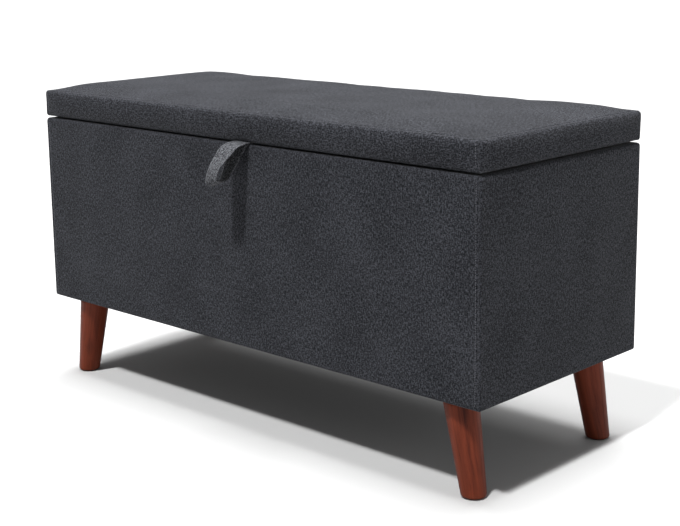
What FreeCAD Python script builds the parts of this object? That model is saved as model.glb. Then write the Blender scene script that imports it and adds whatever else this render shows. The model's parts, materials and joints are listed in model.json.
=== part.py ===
"""Upholstered storage bench: a padded box on four splayed legs, with a hinged padded lid."""
import FreeCAD, Part
import math
import os
import re
import Sketcher

# Driving sizes, in millimetres unless a name ends in _degrees or says a count.
SIZES = {
    # Overall
    "length": 1040,            # over the lid, left to right
    "depth": 420,              # over the lid, front to back
    "leg_height": 152,         # floor to the underside of the box
    "box_height": 347,
    "gap": 3.5,                # shadow gap between box and lid, filled by the hinge leaves
    "lid_side": 47,            # upright side of the lid
    "crown": 10.5,             # how far the pad rises above the lid's sides
    "crown_run": 50,           # how far in from the edge it goes on rising
    "overhang": 1,             # lid past the box, each side
    # Boards and soft layers
    "board": 15,               # side and bottom boards
    "lid_board": 12,
    "wadding": 3,              # thin foam between the boards and the cloth
    "cloth": 1,                # upholstery cloth, lining and dust cover
    "hem": 25,                 # cloth turned under the box and under the lid
    "post": 22,                # square corner posts inside the box
    "post_below": 5,           # top of a post below the rim
    # Legs
    "leg_top": 28,             # radius where a leg meets its plate
    "leg_foot": 20,            # radius at the floor
    "leg_top_side": 70,        # leg centre in from the lid's end, at the top
    "leg_top_front": 44,       # leg centre in from the lid's front or back, at the top
    "leg_foot_side": 42.5,
    "leg_foot_front": 42,
    "foot_round": 3,
    "plate": 2.5,              # steel leg plates
    "plate_edge": 8,           # from the plate's screws to its ends
    "plate_deep": 50,
    "plate_screw_deep": 32,    # between the plate's screws, front to back
    "plate_screw_clear": 0.6,  # between a screw's head and the leg
    "leg_bolt": 4,             # radius
    "leg_bolt_down": 25,       # into the leg
    "leg_bolt_up": 8,          # past the plate
    "glide": 1.5,              # plastic pad under a leg
    "glide_disc": 15,
    "glide_nail": 1.25,
    "glide_nail_up": 12,
    # Hinges
    "hinge_span": 760,         # between the outer hinges
    "leaf": 1.4,               # thickness
    "leaf_long": 60,
    "leaf_wide": 28,           # from the pin
    "knuckle": 3.75,           # outer radius
    "knuckle_clear": 0.3,      # end play between knuckles
    "pin": 1.6,                # radius
    "pin_clear": 0.05,
    "pin_back": 4,             # pin behind the lid's back face
    # Soft-close lid stays
    "stay_case": 17,           # radius of the damper case's round ends
    "stay_case_rise": 24,      # between the centres of those ends
    "stay_case_thick": 12,
    "stay_case_clear": 3,      # to the corner post
    "stay_drop": 75,           # case spindle below the hinge pin
    "stay_reach": 90,          # lid pivot forward of the hinge pin
    "stay_hang": 14,           # lid pivot below the hinge pin
    "stay_bar": 3,             # thickness of the arm and the link
    "stay_eye": 7,             # radius of their round ends
    "stay_spindle": 4,         # radius
    "stay_stud": 3,            # radius
    "stay_head": 1.2,          # rivet heads, thickness
    "stay_head_wide": 5,       # and radius
    "stay_play": 0.3,          # side play between the moving bars
    "stud_clear": 0.1,         # round a spindle or stud
    "lid_pivot_clear": 0.3,    # round the stud in the lid bracket
    "bracket": 2,              # lid bracket, thickness
    "bracket_wide": 10,        # half its width
    "bracket_foot": 22,        # foot that is screwed to the lid
    # Screws: radius of head and shank, height of head, length of shank
    "panel_screw_head": 4,
    "panel_screw": 2.5,
    "panel_screw_sink": 3,
    "panel_screw_long": 40,
    "small_screw_head": 3.2,
    "small_screw": 1.7,
    "small_screw_long": 10,
    "plate_screw_head": 3.6,
    "plate_screw_rise": 2,
    "plate_screw": 1.9,
    "plate_screw_long": 15,
    "stay_screw_sink": 2,
    "stay_screw_long": 22,
    # Pull tab: a strap folded into a loop, its two tails fixed under the lid
    "tab_width": 38,
    "tab_side": 24,            # right of the bench's middle
    "strap": 1.3,              # one layer
    "tab_reach": 68,           # in front of the lid
    "tab_drop": 57,            # below the strap's root
    "tab_nose": 16.5,          # outer radius at the bottom of the loop
    "tab_root": 1,             # from the swing axis to the ends of both parts
    "tail_long": 60,
    "staple": 0.5,             # half the wire's thickness
    "staple_wide": 10,
    "staple_deep": 8,
}

# Planes and places, as expressions on the sizes. Lengthwise and front-to-back places are
# measured from the middle of the box.
BOX_X = "(length / 2 - overhang)"
BOX_Y = "(depth / 2 - overhang)"
BOX_Z = "leg_height"
RIM_Z = "(leg_height + box_height)"
BOARD_X = f"({BOX_X} - cloth - wadding)"
BOARD_Y = f"({BOX_Y} - cloth - wadding)"
BOARD_Z = f"({BOX_Z} + cloth)"
BOARD_TOP = f"({RIM_Z} - cloth)"
INNER_X = f"({BOARD_X} - board)"
INNER_Y = f"({BOARD_Y} - board)"
FLOOR_Z = f"({BOARD_Z} + board)"
LID_X = "(length / 2)"
LID_Y = "(depth / 2)"
LID_Z = f"({RIM_Z} + gap)"
LID_BOARD_Z = f"({LID_Z} + cloth)"
PAD_Z = f"({LID_BOARD_Z} + lid_board)"
PIN_Y = f"({LID_Y} + pin_back)"
PIN_Z = f"({RIM_Z} + gap / 2)"
CASE_X = f"({INNER_X} - cloth)"
CASE_Y = f"({INNER_Y} - post - stay_case_clear - stay_case)"
CASE_Z = f"({PIN_Z} - stay_drop)"
LID_PIVOT_Y = f"({PIN_Y} - stay_reach)"
LID_PIVOT_Z = f"({PIN_Z} - stay_hang)"
ARM_END_Y = f"({CASE_Y} - stay_reach)"
ARM_END_Z = f"({CASE_Z} - stay_hang)"
ARM_X = f"({CASE_X} - stay_case_thick - stay_play)"
LINK_X = f"({ARM_X} - stay_bar - stay_play)"
BRACKET_X = f"({LINK_X} - stay_bar - stay_play)"
TAB_Z = f"({LID_Z} - strap)"
# The plate's screws stand just clear of the leg, measured from the leg's middle.
PLATE_SCREW_X = ("(sqrt(pow(leg_top + plate_screw_head + plate_screw_clear; 2)"
                 " - pow(plate_screw_deep / 2; 2)))")
# The tab reaches further forward than the hinges reach back, so the box stands behind the
# middle of the whole bench by half of the difference.
MIDDLE_Y = "(tab_reach - pin_back - knuckle) / 2"

CORNERS = {"front_left": (-1, -1), "front_right": (1, -1), "back_left": (-1, 1), "back_right": (1, 1)}
SIDES = {"left": -1, "right": 1}
HINGES = {"left": -1, "middle": 0, "right": 1}

doc = FreeCAD.newDocument("storage_bench")
sheet = doc.addObject("Spreadsheet::Sheet", "dims")
for row, (size, value) in enumerate(SIZES.items(), start=1):
    sheet.set(f"A{row}", size)
    sheet.set(f"B{row}", str(value))
    sheet.setAlias(f"B{row}", size)
doc.recompute()
pieces = []


def formula(text):
    """Point every size named in an expression at its cell of the sheet."""
    return re.sub(r"[a-z]\w+", lambda word: f"dims.{word[0]}" if word[0] in SIZES else word[0], text)


def bind(thing, **settings):
    for name, text in settings.items():
        thing.setExpression(name, formula(text))


def place(thing, x="0", y="0", z="0"):
    """Put an object at a place measured from the middle of the box."""
    for axis, text in zip("xyz", (x, f"{MIDDLE_Y} + {y}", z)):
        thing.setExpression(f"Placement.Base.{axis}", formula(text))


def piece(thing, label):
    """Name a finished piece of the bench."""
    thing.Label = label
    pieces.append(thing)
    return thing


def span(side, near, far):
    """A stretch along the length, near and far from the middle, on one side of it."""
    return (near, far) if side > 0 else (f"-{far}", f"-{near}")


def slab(x, y, z):
    """A box between two planes each way."""
    solid = doc.addObject("Part::Box", "slab")
    bind(solid, Length=f"{x[1]} - ({x[0]})", Width=f"{y[1]} - ({y[0]})", Height=f"{z[1]} - ({z[0]})")
    place(solid, x[0], y[0], z[0])
    return solid


ALONG = {
    "x": FreeCAD.Rotation(FreeCAD.Vector(0, 1, 0), 90),
    "-x": FreeCAD.Rotation(FreeCAD.Vector(0, 1, 0), -90),
    "y": FreeCAD.Rotation(FreeCAD.Vector(1, 0, 0), -90),
    "-y": FreeCAD.Rotation(FreeCAD.Vector(1, 0, 0), 90),
    "z": FreeCAD.Rotation(),
    "-z": FreeCAD.Rotation(FreeCAD.Vector(1, 0, 0), 180),
}


def rod(along, radius, height, x, y, z):
    """A cylinder that starts at a point and runs along an axis."""
    solid = doc.addObject("Part::Cylinder", "rod")
    bind(solid, Radius=radius, Height=height)
    solid.Placement = FreeCAD.Placement(FreeCAD.Vector(), ALONG[along])
    place(solid, x, y, z)
    return solid


def taper(along, radius, end_radius, height, x, y, z):
    """A cone that starts at a point and runs along an axis."""
    solid = doc.addObject("Part::Cone", "taper")
    bind(solid, Radius1=radius, Radius2=end_radius, Height=height)
    solid.Placement = FreeCAD.Placement(FreeCAD.Vector(), ALONG[along])
    place(solid, x, y, z)
    return solid


def join(*parts):
    fused = doc.addObject("Part::MultiFuse", "join")
    fused.Shapes = list(parts)
    return fused


def group(parts):
    """Separate solids that share one name."""
    together = doc.addObject("Part::Compound", "group")
    together.Links = list(parts)
    return together


def cut(base, *tools):
    """Take other pieces' shapes away from a solid, so that they fit it exactly."""
    result = doc.addObject("Part::Cut", "cut")
    result.Base = base
    result.Tool = tools[0] if len(tools) == 1 else group(tools)
    return result


def sunk_screw(along, x, y, z):
    """A small countersunk screw, its head flush with a hinge leaf or bracket."""
    head = taper(along, "small_screw_head", "small_screw", "leaf", x, y, z)
    shank = rod(along, "small_screw", "small_screw_long", x, y, z)
    return join(head, shank)


def headed_screw(along, sizes, x, y, z):
    """A screw whose head starts at a point; sizes are its two radii, head height and length."""
    head_radius, radius, head_height, shank_length = sizes
    head = rod(along, head_radius, head_height, x, y, z)
    shank = rod(along, radius, f"{head_height} + {shank_length}", x, y, z)
    return join(head, shank)


def body(name):
    return doc.addObject("PartDesign::Body", name)


def sketch_on(owner, role, lift="0"):
    """A sketch on one of a body's own origin planes, lifted off it."""
    sketch = owner.newObject("Sketcher::SketchObject", "sketch")
    plane = next(feature for feature in owner.Origin.OriginFeatures if feature.Role == role)
    sketch.AttachmentSupport = (plane, "")
    sketch.MapMode = "FlatFace"
    sketch.setExpression("AttachmentOffset.Base.z", formula(lift))
    return sketch


def hold(sketch, name, text, *constraint):
    """Add a dimension to a sketch and bind it to an expression."""
    index = sketch.addConstraint(Sketcher.Constraint(*constraint))
    sketch.renameConstraint(index, name)
    sketch.setExpression(f"Constraints.{name}", formula(text))


def pad(owner, profile, thickness, midplane=False):
    feature = owner.newObject("PartDesign::Pad", "pad")
    feature.Profile = profile
    feature.Midplane = midplane
    bind(feature, Length=thickness)
    return feature


# ---------------------------------------------------------------- fasteners
def make_panel_screws():
    """Screws through the front and back boards into the ends' edges and the bottom's edge."""
    sizes = ("panel_screw_head", "panel_screw", "panel_screw_sink", "panel_screw_long")
    end_x = f"({INNER_X} + board / 2)"
    low = f"({BOARD_Z} + board / 2)"
    screws = []
    for along, y in (("y", f"-{BOARD_Y}"), ("-y", BOARD_Y)):
        for side in SIDES.values():
            for share in (0.3, 0.6, 0.9):
                z = f"({BOARD_Z} + {share} * ({BOARD_TOP} - {BOARD_Z}))"
                screws.append(headed_screw(along, sizes, f"{side} * {end_x}", y, z))
        for share in (-0.6, 0, 0.6):
            screws.append(headed_screw(along, sizes, f"{share} * {INNER_X}", y, low))
    return piece(group(screws), "panel_screws")


def leg_top(corner):
    """Where a leg's centre meets its plate."""
    side, face = CORNERS[corner]
    return f"{side} * ({LID_X} - leg_top_side)", f"{face} * ({LID_Y} - leg_top_front)"


def make_leg_bolts():
    """Threaded studs that join each leg to its plate and reach into the bottom board."""
    studs = []
    for corner in CORNERS:
        x, y = leg_top(corner)
        studs.append(rod("z", "leg_bolt", "leg_bolt_down + plate + leg_bolt_up", x, y,
                         f"{BOX_Z} - plate - leg_bolt_down"))
    return piece(group(studs), "leg_bolts")


def make_plate_screws():
    """Four screws up through each leg plate into the bottom board."""
    sizes = ("plate_screw_head", "plate_screw", "plate_screw_rise", "plate_screw_long")
    screws = []
    for corner in CORNERS:
        x, y = leg_top(corner)
        for across in (-1, 1):
            for along in (-1, 1):
                screws.append(headed_screw(
                    "z", sizes, f"{x} + {across} * {PLATE_SCREW_X}",
                    f"{y} + {along} * plate_screw_deep / 2", f"{BOX_Z} - plate - plate_screw_rise"))
    return piece(group(screws), "leg_plate_screws")


def hinge_x(place_along):
    return f"({place_along} * hinge_span / 2)"


def make_hinge_screws(along, z, label):
    """Three screws through each hinge leaf, into the board under or over it."""
    screws = []
    for place_along in HINGES.values():
        for share in (-1, 0, 1):
            x = f"{hinge_x(place_along)} + {share} * leaf_long / 3"
            screws.append(sunk_screw(along, x, f"{INNER_Y} + board / 2", z))
    return piece(group(screws), label)


def make_stay_screws():
    """Two screws through each damper case into the end board."""
    sizes = ("small_screw_head", "small_screw", "stay_screw_sink", "stay_screw_long")
    screws = []
    for side in SIDES.values():
        for end in (-1, 1):
            screws.append(headed_screw("x" if side > 0 else "-x", sizes,
                                       f"{side} * ({CASE_X} - stay_case_thick)", CASE_Y,
                                       f"{CASE_Z} + {end} * (stay_case_rise / 2 + stay_case / 2)"))
    return piece(group(screws), "stay_case_screws")


def make_bracket_screws():
    """Two screws through the foot of each lid bracket into the lid board."""
    screws = []
    for side in SIDES.values():
        for share in (-1, 1):
            screws.append(sunk_screw("z", f"{side} * ({BRACKET_X} - bracket_foot / 2)",
                                     f"{LID_PIVOT_Y} + {share} * bracket_wide / 2",
                                     f"{LID_Z} - bracket"))
    return piece(group(screws), "stay_bracket_screws")


def make_staples():
    """Two staples through the tab's tails into the lid board."""
    staples = []
    for share in (0.6, 0.9):
        y = f"(-{LID_Y} + {share} * tail_long)"
        low = f"({TAB_Z} - strap - 2 * staple)"
        crown = slab(("tab_side - staple_wide / 2", "tab_side + staple_wide / 2"),
                     (f"{y} - staple", f"{y} + staple"), (low, f"{low} + 2 * staple"))
        legs = [slab((f"tab_side + {edge} * staple_wide / 2 - staple - {edge} * staple",
                      f"tab_side + {edge} * staple_wide / 2 + staple - {edge} * staple"),
                     (f"{y} - staple", f"{y} + staple"), (low, f"{low} + staple_deep"))
                for edge in (-1, 1)]
        staples.append(join(crown, *legs))
    return piece(group(staples), "tab_staples")


# ---------------------------------------------------------------- the box
def make_box(screws, bolts, plate_screws, hinge_screws, stay_screws):
    """Five boards, corner posts, wadding, a sewn cover, a lining and a dust cover."""
    upright = (BOARD_Z, BOARD_TOP)
    for label, face in (("front", -1), ("back", 1)):
        across = span(face, INNER_Y, BOARD_Y)
        board = slab((f"-{BOARD_X}", BOARD_X), across, upright)
        tools = (screws, hinge_screws) if label == "back" else (screws,)
        piece(cut(board, *tools), f"{label}_panel")
        soft = slab((f"-{BOARD_X}", BOARD_X), span(face, BOARD_Y, f"({BOARD_Y} + wadding)"), upright)
        piece(soft, f"{label}_wadding")
    for label, side in SIDES.items():
        board = slab(span(side, INNER_X, BOARD_X), (f"-{INNER_Y}", INNER_Y), upright)
        piece(cut(board, screws, stay_screws), f"{label}_panel")
        deep = f"({BOARD_Y} + wadding)"
        soft = slab(span(side, BOARD_X, f"({BOARD_X} + wadding)"), (f"-{deep}", deep), upright)
        piece(soft, f"{label}_wadding")
    bottom = slab((f"-{INNER_X}", INNER_X), (f"-{INNER_Y}", INNER_Y), (BOARD_Z, FLOOR_Z))
    piece(cut(bottom, screws, bolts, plate_screws), "bottom_panel")

    posts = []
    for corner, (side, face) in CORNERS.items():
        post = slab(span(side, f"({INNER_X} - post)", INNER_X), span(face, f"({INNER_Y} - post)", INNER_Y),
                    (FLOOR_Z, f"({BOARD_TOP} - post_below)"))
        posts.append(piece(post, f"corner_post_{corner}"))
    outside = slab((f"-{INNER_X}", INNER_X), (f"-{INNER_Y}", INNER_Y), (FLOOR_Z, BOARD_TOP))
    inside = slab((f"-({INNER_X} - cloth)", f"({INNER_X} - cloth)"),
                  (f"-({INNER_Y} - cloth)", f"({INNER_Y} - cloth)"), (f"{FLOOR_Z} + cloth", RIM_Z))
    columns = [slab(span(side, f"({INNER_X} - post)", INNER_X), span(face, f"({INNER_Y} - post)", INNER_Y),
                    (FLOOR_Z, RIM_Z)) for side, face in CORNERS.values()]
    piece(cut(outside, inside, *columns, stay_screws), "storage_lining")

    shell = slab((f"-{BOX_X}", BOX_X), (f"-{BOX_Y}", BOX_Y), (BOX_Z, RIM_Z))
    boards = slab((f"-({BOX_X} - cloth)", f"({BOX_X} - cloth)"),
                  (f"-({BOX_Y} - cloth)", f"({BOX_Y} - cloth)"), upright)
    mouth = slab((f"-{INNER_X}", INNER_X), (f"-{INNER_Y}", INNER_Y), (BOARD_TOP, f"{RIM_Z} + cloth"))
    under_x, under_y = f"({BOX_X} - hem)", f"({BOX_Y} - hem)"
    under = slab((f"-{under_x}", under_x), (f"-{under_y}", under_y), (f"{BOX_Z} - cloth", BOARD_Z))
    piece(cut(shell, boards, mouth, under, hinge_screws, plate_screws), "box_cover")
    dust = slab((f"-{under_x}", under_x), (f"-{under_y}", under_y), (BOX_Z, BOARD_Z))
    piece(cut(dust, bolts, plate_screws), "dust_cover")


# ---------------------------------------------------------------- legs
def make_leg(corner, bolts, glide):
    """A tapered round leg that leans outwards along the bench, cut level at both ends."""
    side, face = CORNERS[corner]
    leg = body("leg")
    x, y = leg_top(corner)
    place(leg, x, y, "glide")
    rise = "(leg_height - plate - glide)"
    lean_x = f"{side} * (leg_top_side - leg_foot_side)"
    lean_y = f"{face} * (leg_top_front - leg_foot_front)"
    rings = []
    for radius, lift in (("leg_foot - foot_round", "0"), ("leg_foot", "foot_round"), ("leg_top", rise)):
        share = f"(1 - {lift} / {rise})"
        ring = sketch_on(leg, "XY_Plane", lift)
        ring.addGeometry(Part.Circle(FreeCAD.Vector(), FreeCAD.Vector(0, 0, 1), SIZES["leg_foot"]))
        hold(ring, "ring_radius", radius, "Radius", 0, SIZES["leg_foot"])
        hold(ring, "ring_x", f"{lean_x} * {share}", "DistanceX", -1, 1, 0, 3, 0)
        hold(ring, "ring_y", f"{lean_y} * {share}", "DistanceY", -1, 1, 0, 3, 0)
        rings.append(ring)
    loft = leg.newObject("PartDesign::AdditiveLoft", "loft")
    loft.Profile = rings[0]
    loft.Sections = rings[1:]
    loft.Ruled = True
    return piece(cut(leg, bolts, glide), f"leg_{corner}")


def make_glide(corner):
    """A plastic pad with a nail, under a leg."""
    side, face = CORNERS[corner]
    x = f"{side} * ({LID_X} - leg_foot_side)"
    y = f"{face} * ({LID_Y} - leg_foot_front)"
    disc = rod("z", "glide_disc", "glide", x, y, "0")
    nail = rod("z", "glide_nail", "glide + glide_nail_up", x, y, "0")
    return piece(join(disc, nail), f"foot_glide_{corner}")


def make_leg_plate(corner, bolts, screws):
    """A flat steel plate between a leg and the box."""
    x, y = leg_top(corner)
    half = f"({PLATE_SCREW_X} + plate_edge)"
    wide = (f"({x} - {half})", f"({x} + {half})")
    deep = (f"({y} - plate_deep / 2)", f"({y} + plate_deep / 2)")
    blank = slab(wide, deep, (f"({BOX_Z} - plate)", BOX_Z))
    return piece(cut(blank, bolts, screws), f"leg_plate_{corner}")


# ---------------------------------------------------------------- the lid
def lid_blank(inset):
    """The lid's outer shape, shrunk by an inset: upright sides and a crowned top."""
    sides = slab((f"-({LID_X} - {inset})", f"({LID_X} - {inset})"),
                 (f"-({LID_Y} - {inset})", f"({LID_Y} - {inset})"),
                 (f"({LID_Z} + {inset})", f"({LID_Z} + lid_side - {inset})"))
    crown = doc.addObject("Part::Wedge", "crown")
    crown.Placement = FreeCAD.Placement(FreeCAD.Vector(), FreeCAD.Rotation(FreeCAD.Vector(1, 0, 0), 90))
    edge_x, edge_y = f"({LID_X} - {inset})", f"({LID_Y} - {inset})"
    bind(crown, Xmin=f"-{edge_x}", Xmax=edge_x, Zmin=f"-{edge_y}", Zmax=edge_y, Ymin="0", Ymax="crown",
         X2min=f"-({edge_x} - crown_run)", X2max=f"({edge_x} - crown_run)",
         Z2min=f"-({edge_y} - crown_run)", Z2max=f"({edge_y} - crown_run)")
    place(crown, "0", "0", f"{LID_Z} + lid_side - {inset}")
    return join(sides, crown)


def make_lid(hinge_screws, bracket_screws, staples):
    """A board, a foam pad that laps its edges, a cover turned under them and a lining inside
    the turned hem."""
    in_x, in_y = f"({LID_X} - cloth - wadding)", f"({LID_Y} - cloth - wadding)"
    board = slab((f"-{in_x}", in_x), (f"-{in_y}", in_y), (LID_BOARD_Z, PAD_Z))
    piece(cut(board, hinge_screws, bracket_screws, staples), "lid_board")
    piece(cut(lid_blank("cloth"), board), "lid_foam")
    hem_x, hem_y = f"({LID_X} - hem)", f"({LID_Y} - hem)"
    under = slab((f"-{hem_x}", hem_x), (f"-{hem_y}", hem_y), (f"{LID_Z} - cloth", LID_BOARD_Z))
    piece(cut(lid_blank("0"), lid_blank("cloth"), under, hinge_screws, staples), "lid_cover")
    lining = slab((f"-{hem_x}", hem_x), (f"-{hem_y}", hem_y), (LID_Z, LID_BOARD_Z))
    piece(cut(lining, bracket_screws, staples), "lid_lining")


# ---------------------------------------------------------------- hinges
def make_hinge(name, place_along, chest_screws, lid_screws):
    """A butt hinge of three knuckles: the outer two on the box, the middle one on the lid."""
    middle = hinge_x(place_along)
    edges = [f"({middle} + {share} * leaf_long / 2)" for share in (-1, -1 / 3, 1 / 3, 1)]
    pin_hole = rod("x", "pin + pin_clear", "leaf_long + 2", f"{edges[0]} - 1", PIN_Y, PIN_Z)
    clear_y = f"({PIN_Y} - knuckle - 2 * knuckle_clear)"
    far_y = f"({PIN_Y} - leaf_wide)"
    lid_stretch = (f"({edges[1]} + knuckle_clear)", f"({edges[2]} - knuckle_clear)")
    leaves = (("box", ((edges[0], edges[1]), (edges[2], edges[3])), (RIM_Z, f"({RIM_Z} + leaf)"),
               chest_screws),
              ("lid", (lid_stretch,), (f"({LID_Z} - leaf)", LID_Z), lid_screws))
    for label, stretches, upright, screws in leaves:
        parts = [slab((edges[0], edges[3]), (far_y, clear_y), upright)]
        for start, end in stretches:
            parts.append(slab((start, end), (clear_y, PIN_Y), upright))
            parts.append(rod("x", "knuckle", f"{end} - {start}", start, PIN_Y, PIN_Z))
        piece(cut(join(*parts), pin_hole, screws), f"hinge_{label}_leaf_{name}")
    pin = rod("x", "pin", "leaf_long", edges[0], PIN_Y, PIN_Z)
    return piece(pin, f"hinge_pin_{name}")


# ---------------------------------------------------------------- soft-close lid stays
def make_stay(name, side, screws):
    """A damper case, its arm, the link that follows it and the bracket on the lid. The case's
    spindle, the hinge pin and the bars' ends make a parallelogram, so the link never turns."""
    inward = "-x" if side > 0 else "x"

    def inside(far, thick):
        return span(side, f"({far} - {thick})", far)

    case = [slab(inside(CASE_X, "stay_case_thick"), (f"{CASE_Y} - stay_case", f"{CASE_Y} + stay_case"),
                 (f"({CASE_Z} - stay_case_rise / 2)", f"({CASE_Z} + stay_case_rise / 2)"))]
    for end in (-1, 1):
        case.append(rod(inward, "stay_case", "stay_case_thick", f"{side} * {CASE_X}", CASE_Y,
                        f"{CASE_Z} + {end} * stay_case_rise / 2"))
    spindle = rod(inward, "stay_spindle", "stay_case_thick + stay_bar + 2 * stay_play",
                  f"{side} * {CASE_X}", CASE_Y, CASE_Z)
    cap = rod(inward, "stay_head_wide", "stay_head", f"{side} * ({LINK_X})", CASE_Y, CASE_Z)
    piece(join(cut(join(*case), screws), spindle, cap), f"stay_case_{name}")

    def bar(x, y, z, run, drop):
        """Flat bar from (y, z), going forward by run and down by drop."""
        strip = doc.addObject("Part::Box", "strip")
        bind(strip, Length="stay_bar", Width=f"hypot({run}; {drop})", Height="2 * stay_eye")
        turned = FreeCAD.Rotation(FreeCAD.Vector(1, 0, 0), 10)
        strip.Placement = FreeCAD.Placement(FreeCAD.Vector(), turned)
        strip.setExpression("Placement.Rotation.Angle", formula(f"atan2(-({drop}); -({run}))"))
        reach = f"hypot({run}; {drop})"
        start = span(side, f"({x} - stay_bar)", x)[0]
        place(strip, start, f"{y} - stay_eye * ({drop}) / {reach}", f"{z} + stay_eye * ({run}) / {reach}")
        ends = [rod(inward, "stay_eye", "stay_bar", f"{side} * {x}", f"{y} - {share} * ({run})",
                    f"{z} - {share} * ({drop})") for share in (0, 1)]
        return join(strip, *ends)

    def stud(x, y, z, through):
        """A riveted stud that stands on a bar and holds the next one."""
        shank = rod(inward, "stay_stud", f"stay_bar + {through} + 2 * stay_play", f"{side} * {x}", y, z)
        head = rod(inward, "stay_head_wide", "stay_head",
                   f"{side} * ({x} - stay_bar - {through} - 2 * stay_play)", y, z)
        return join(shank, head)

    arm_hole = rod(inward, "stay_spindle + stud_clear", "stay_bar + 2", f"{side} * ({ARM_X} + 1)",
                   CASE_Y, CASE_Z)
    arm = cut(bar(ARM_X, CASE_Y, CASE_Z, "stay_reach", "stay_hang"), arm_hole)
    piece(join(arm, stud(ARM_X, ARM_END_Y, ARM_END_Z, "stay_bar")), f"stay_arm_{name}")
    link_hole = rod(inward, "stay_stud + stud_clear", "stay_bar + 2", f"{side} * ({LINK_X} + 1)",
                    ARM_END_Y, ARM_END_Z)
    link = cut(bar(LINK_X, ARM_END_Y, ARM_END_Z, f"({ARM_END_Y} - {LID_PIVOT_Y})",
                   f"({ARM_END_Z} - {LID_PIVOT_Z})"), link_hole)
    piece(join(link, stud(LINK_X, LID_PIVOT_Y, LID_PIVOT_Z, "bracket")), f"stay_link_{name}")


def make_stay_bracket(name, side, screws):
    """An angle bracket under the lid that holds the link's stud."""
    inward = "-x" if side > 0 else "x"
    tab = slab(span(side, f"({BRACKET_X} - bracket)", BRACKET_X),
               (f"{LID_PIVOT_Y} - bracket_wide", f"{LID_PIVOT_Y} + bracket_wide"), (LID_PIVOT_Z, LID_Z))
    tip = rod(inward, "bracket_wide", "bracket", f"{side} * {BRACKET_X}", LID_PIVOT_Y, LID_PIVOT_Z)
    foot = slab(span(side, f"({BRACKET_X} - bracket_foot)", BRACKET_X),
                (f"{LID_PIVOT_Y} - bracket_wide", f"{LID_PIVOT_Y} + bracket_wide"),
                (f"({LID_Z} - bracket)", LID_Z))
    hole = rod(inward, "stay_stud + lid_pivot_clear", "bracket + 2", f"{side} * ({BRACKET_X} + 1)",
               LID_PIVOT_Y, LID_PIVOT_Z)
    return piece(cut(join(tab, tip, foot), hole, screws), f"stay_bracket_{name}")


# ---------------------------------------------------------------- pull tab
def make_tab_tail(staples):
    """The strap's two tails, lying together under the lid."""
    tail = slab(("(tab_side - tab_width / 2)", "(tab_side + tab_width / 2)"),
                (f"(-{LID_Y} + tab_root)", f"(-{LID_Y} + tail_long)"), (f"({LID_Z} - 2 * strap)", LID_Z))
    return piece(cut(tail, staples), "pull_tab_tail")


def make_pull_tab():
    """The strap's loop: it leaves the gap level, arches down to a round nose and returns."""
    tab = body("tab")
    place(tab, "tab_side", f"-{LID_Y}", TAB_Z)
    outline = sketch_on(tab, "YZ_Plane")
    root, layer, nose = SIZES["tab_root"], SIZES["strap"], SIZES["tab_nose"]
    nose_y, nose_z = nose - SIZES["tab_reach"], nose - SIZES["tab_drop"]
    # Radius of the arch that leaves the root level and runs tangent into the nose.
    back, down = nose_y + root, nose_z - layer
    arch = (nose ** 2 - back ** 2 - down ** 2) / (2 * (down + nose))
    arch_z = layer - arch
    lean = math.atan2(nose_z - arch_z, nose_y + root)
    line = math.atan2(nose_z + layer, nose_y + root)
    line += math.asin(nose / math.hypot(nose_y + root, nose_z + layer))
    foot = line + math.pi / 2

    def circle(y, z, radius):
        return Part.Circle(FreeCAD.Vector(y, z, 0), FreeCAD.Vector(0, 0, 1), radius)

    def at(y, z, radius, angle):
        return FreeCAD.Vector(y + radius * math.cos(angle), z + radius * math.sin(angle), 0)

    inner_start = math.radians(100)
    for thin in (0, layer):
        arch_from = math.pi / 2 if not thin else inner_start
        outline.addGeometry(Part.ArcOfCircle(circle(-root, arch_z, arch - thin), arch_from, lean % math.tau))
        outline.addGeometry(Part.ArcOfCircle(circle(nose_y, nose_z, nose - thin), lean % math.tau,
                                             foot % math.tau + math.tau * (foot % math.tau < lean % math.tau)))
        end = at(nose_y, nose_z, nose - thin, foot)
        start = at(-root, arch_z, arch - thin, arch_from) if thin else FreeCAD.Vector(-root, -layer, 0)
        outline.addGeometry(Part.LineSegment(end, start))
    outline.addGeometry(Part.LineSegment(FreeCAD.Vector(-root, -layer, 0), FreeCAD.Vector(-root, layer, 0)))
    rule = Sketcher.Constraint
    for first in (0, 3):
        outline.addConstraint(rule("Tangent", first, 2, first + 1, 1))
        outline.addConstraint(rule("Tangent", first + 1, 2, first + 2, 1))
    outline.addConstraint(rule("Coincident", 2, 2, 6, 1))
    outline.addConstraint(rule("Coincident", 6, 2, 0, 1))
    outline.addConstraint(rule("Coincident", 5, 2, 3, 1))
    outline.addConstraint(rule("Coincident", 3, 3, 0, 3))
    outline.addConstraint(rule("Coincident", 4, 3, 1, 3))
    outline.addConstraint(rule("Parallel", 5, 2))
    outline.addConstraint(rule("Vertical", 6))
    outline.addConstraint(rule("Vertical", 0, 1, 0, 3))
    hold(outline, "root_y", "-tab_root", "DistanceX", -1, 1, 6, 1, -root)
    hold(outline, "root_low", "-strap", "DistanceY", -1, 1, 6, 1, -layer)
    hold(outline, "root_thick", "2 * strap", "DistanceY", 6, 1, 6, 2, 2 * layer)
    hold(outline, "nose_radius", "tab_nose", "Radius", 1, nose)
    hold(outline, "nose_inner", "tab_nose - strap", "Radius", 4, nose - layer)
    hold(outline, "nose_y", "tab_nose - tab_reach", "DistanceX", -1, 1, 1, 3, nose_y)
    hold(outline, "nose_z", "tab_nose - tab_drop", "DistanceY", -1, 1, 1, 3, nose_z)
    pad(tab, outline, "tab_width", midplane=True)
    return piece(tab, "pull_tab")


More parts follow.
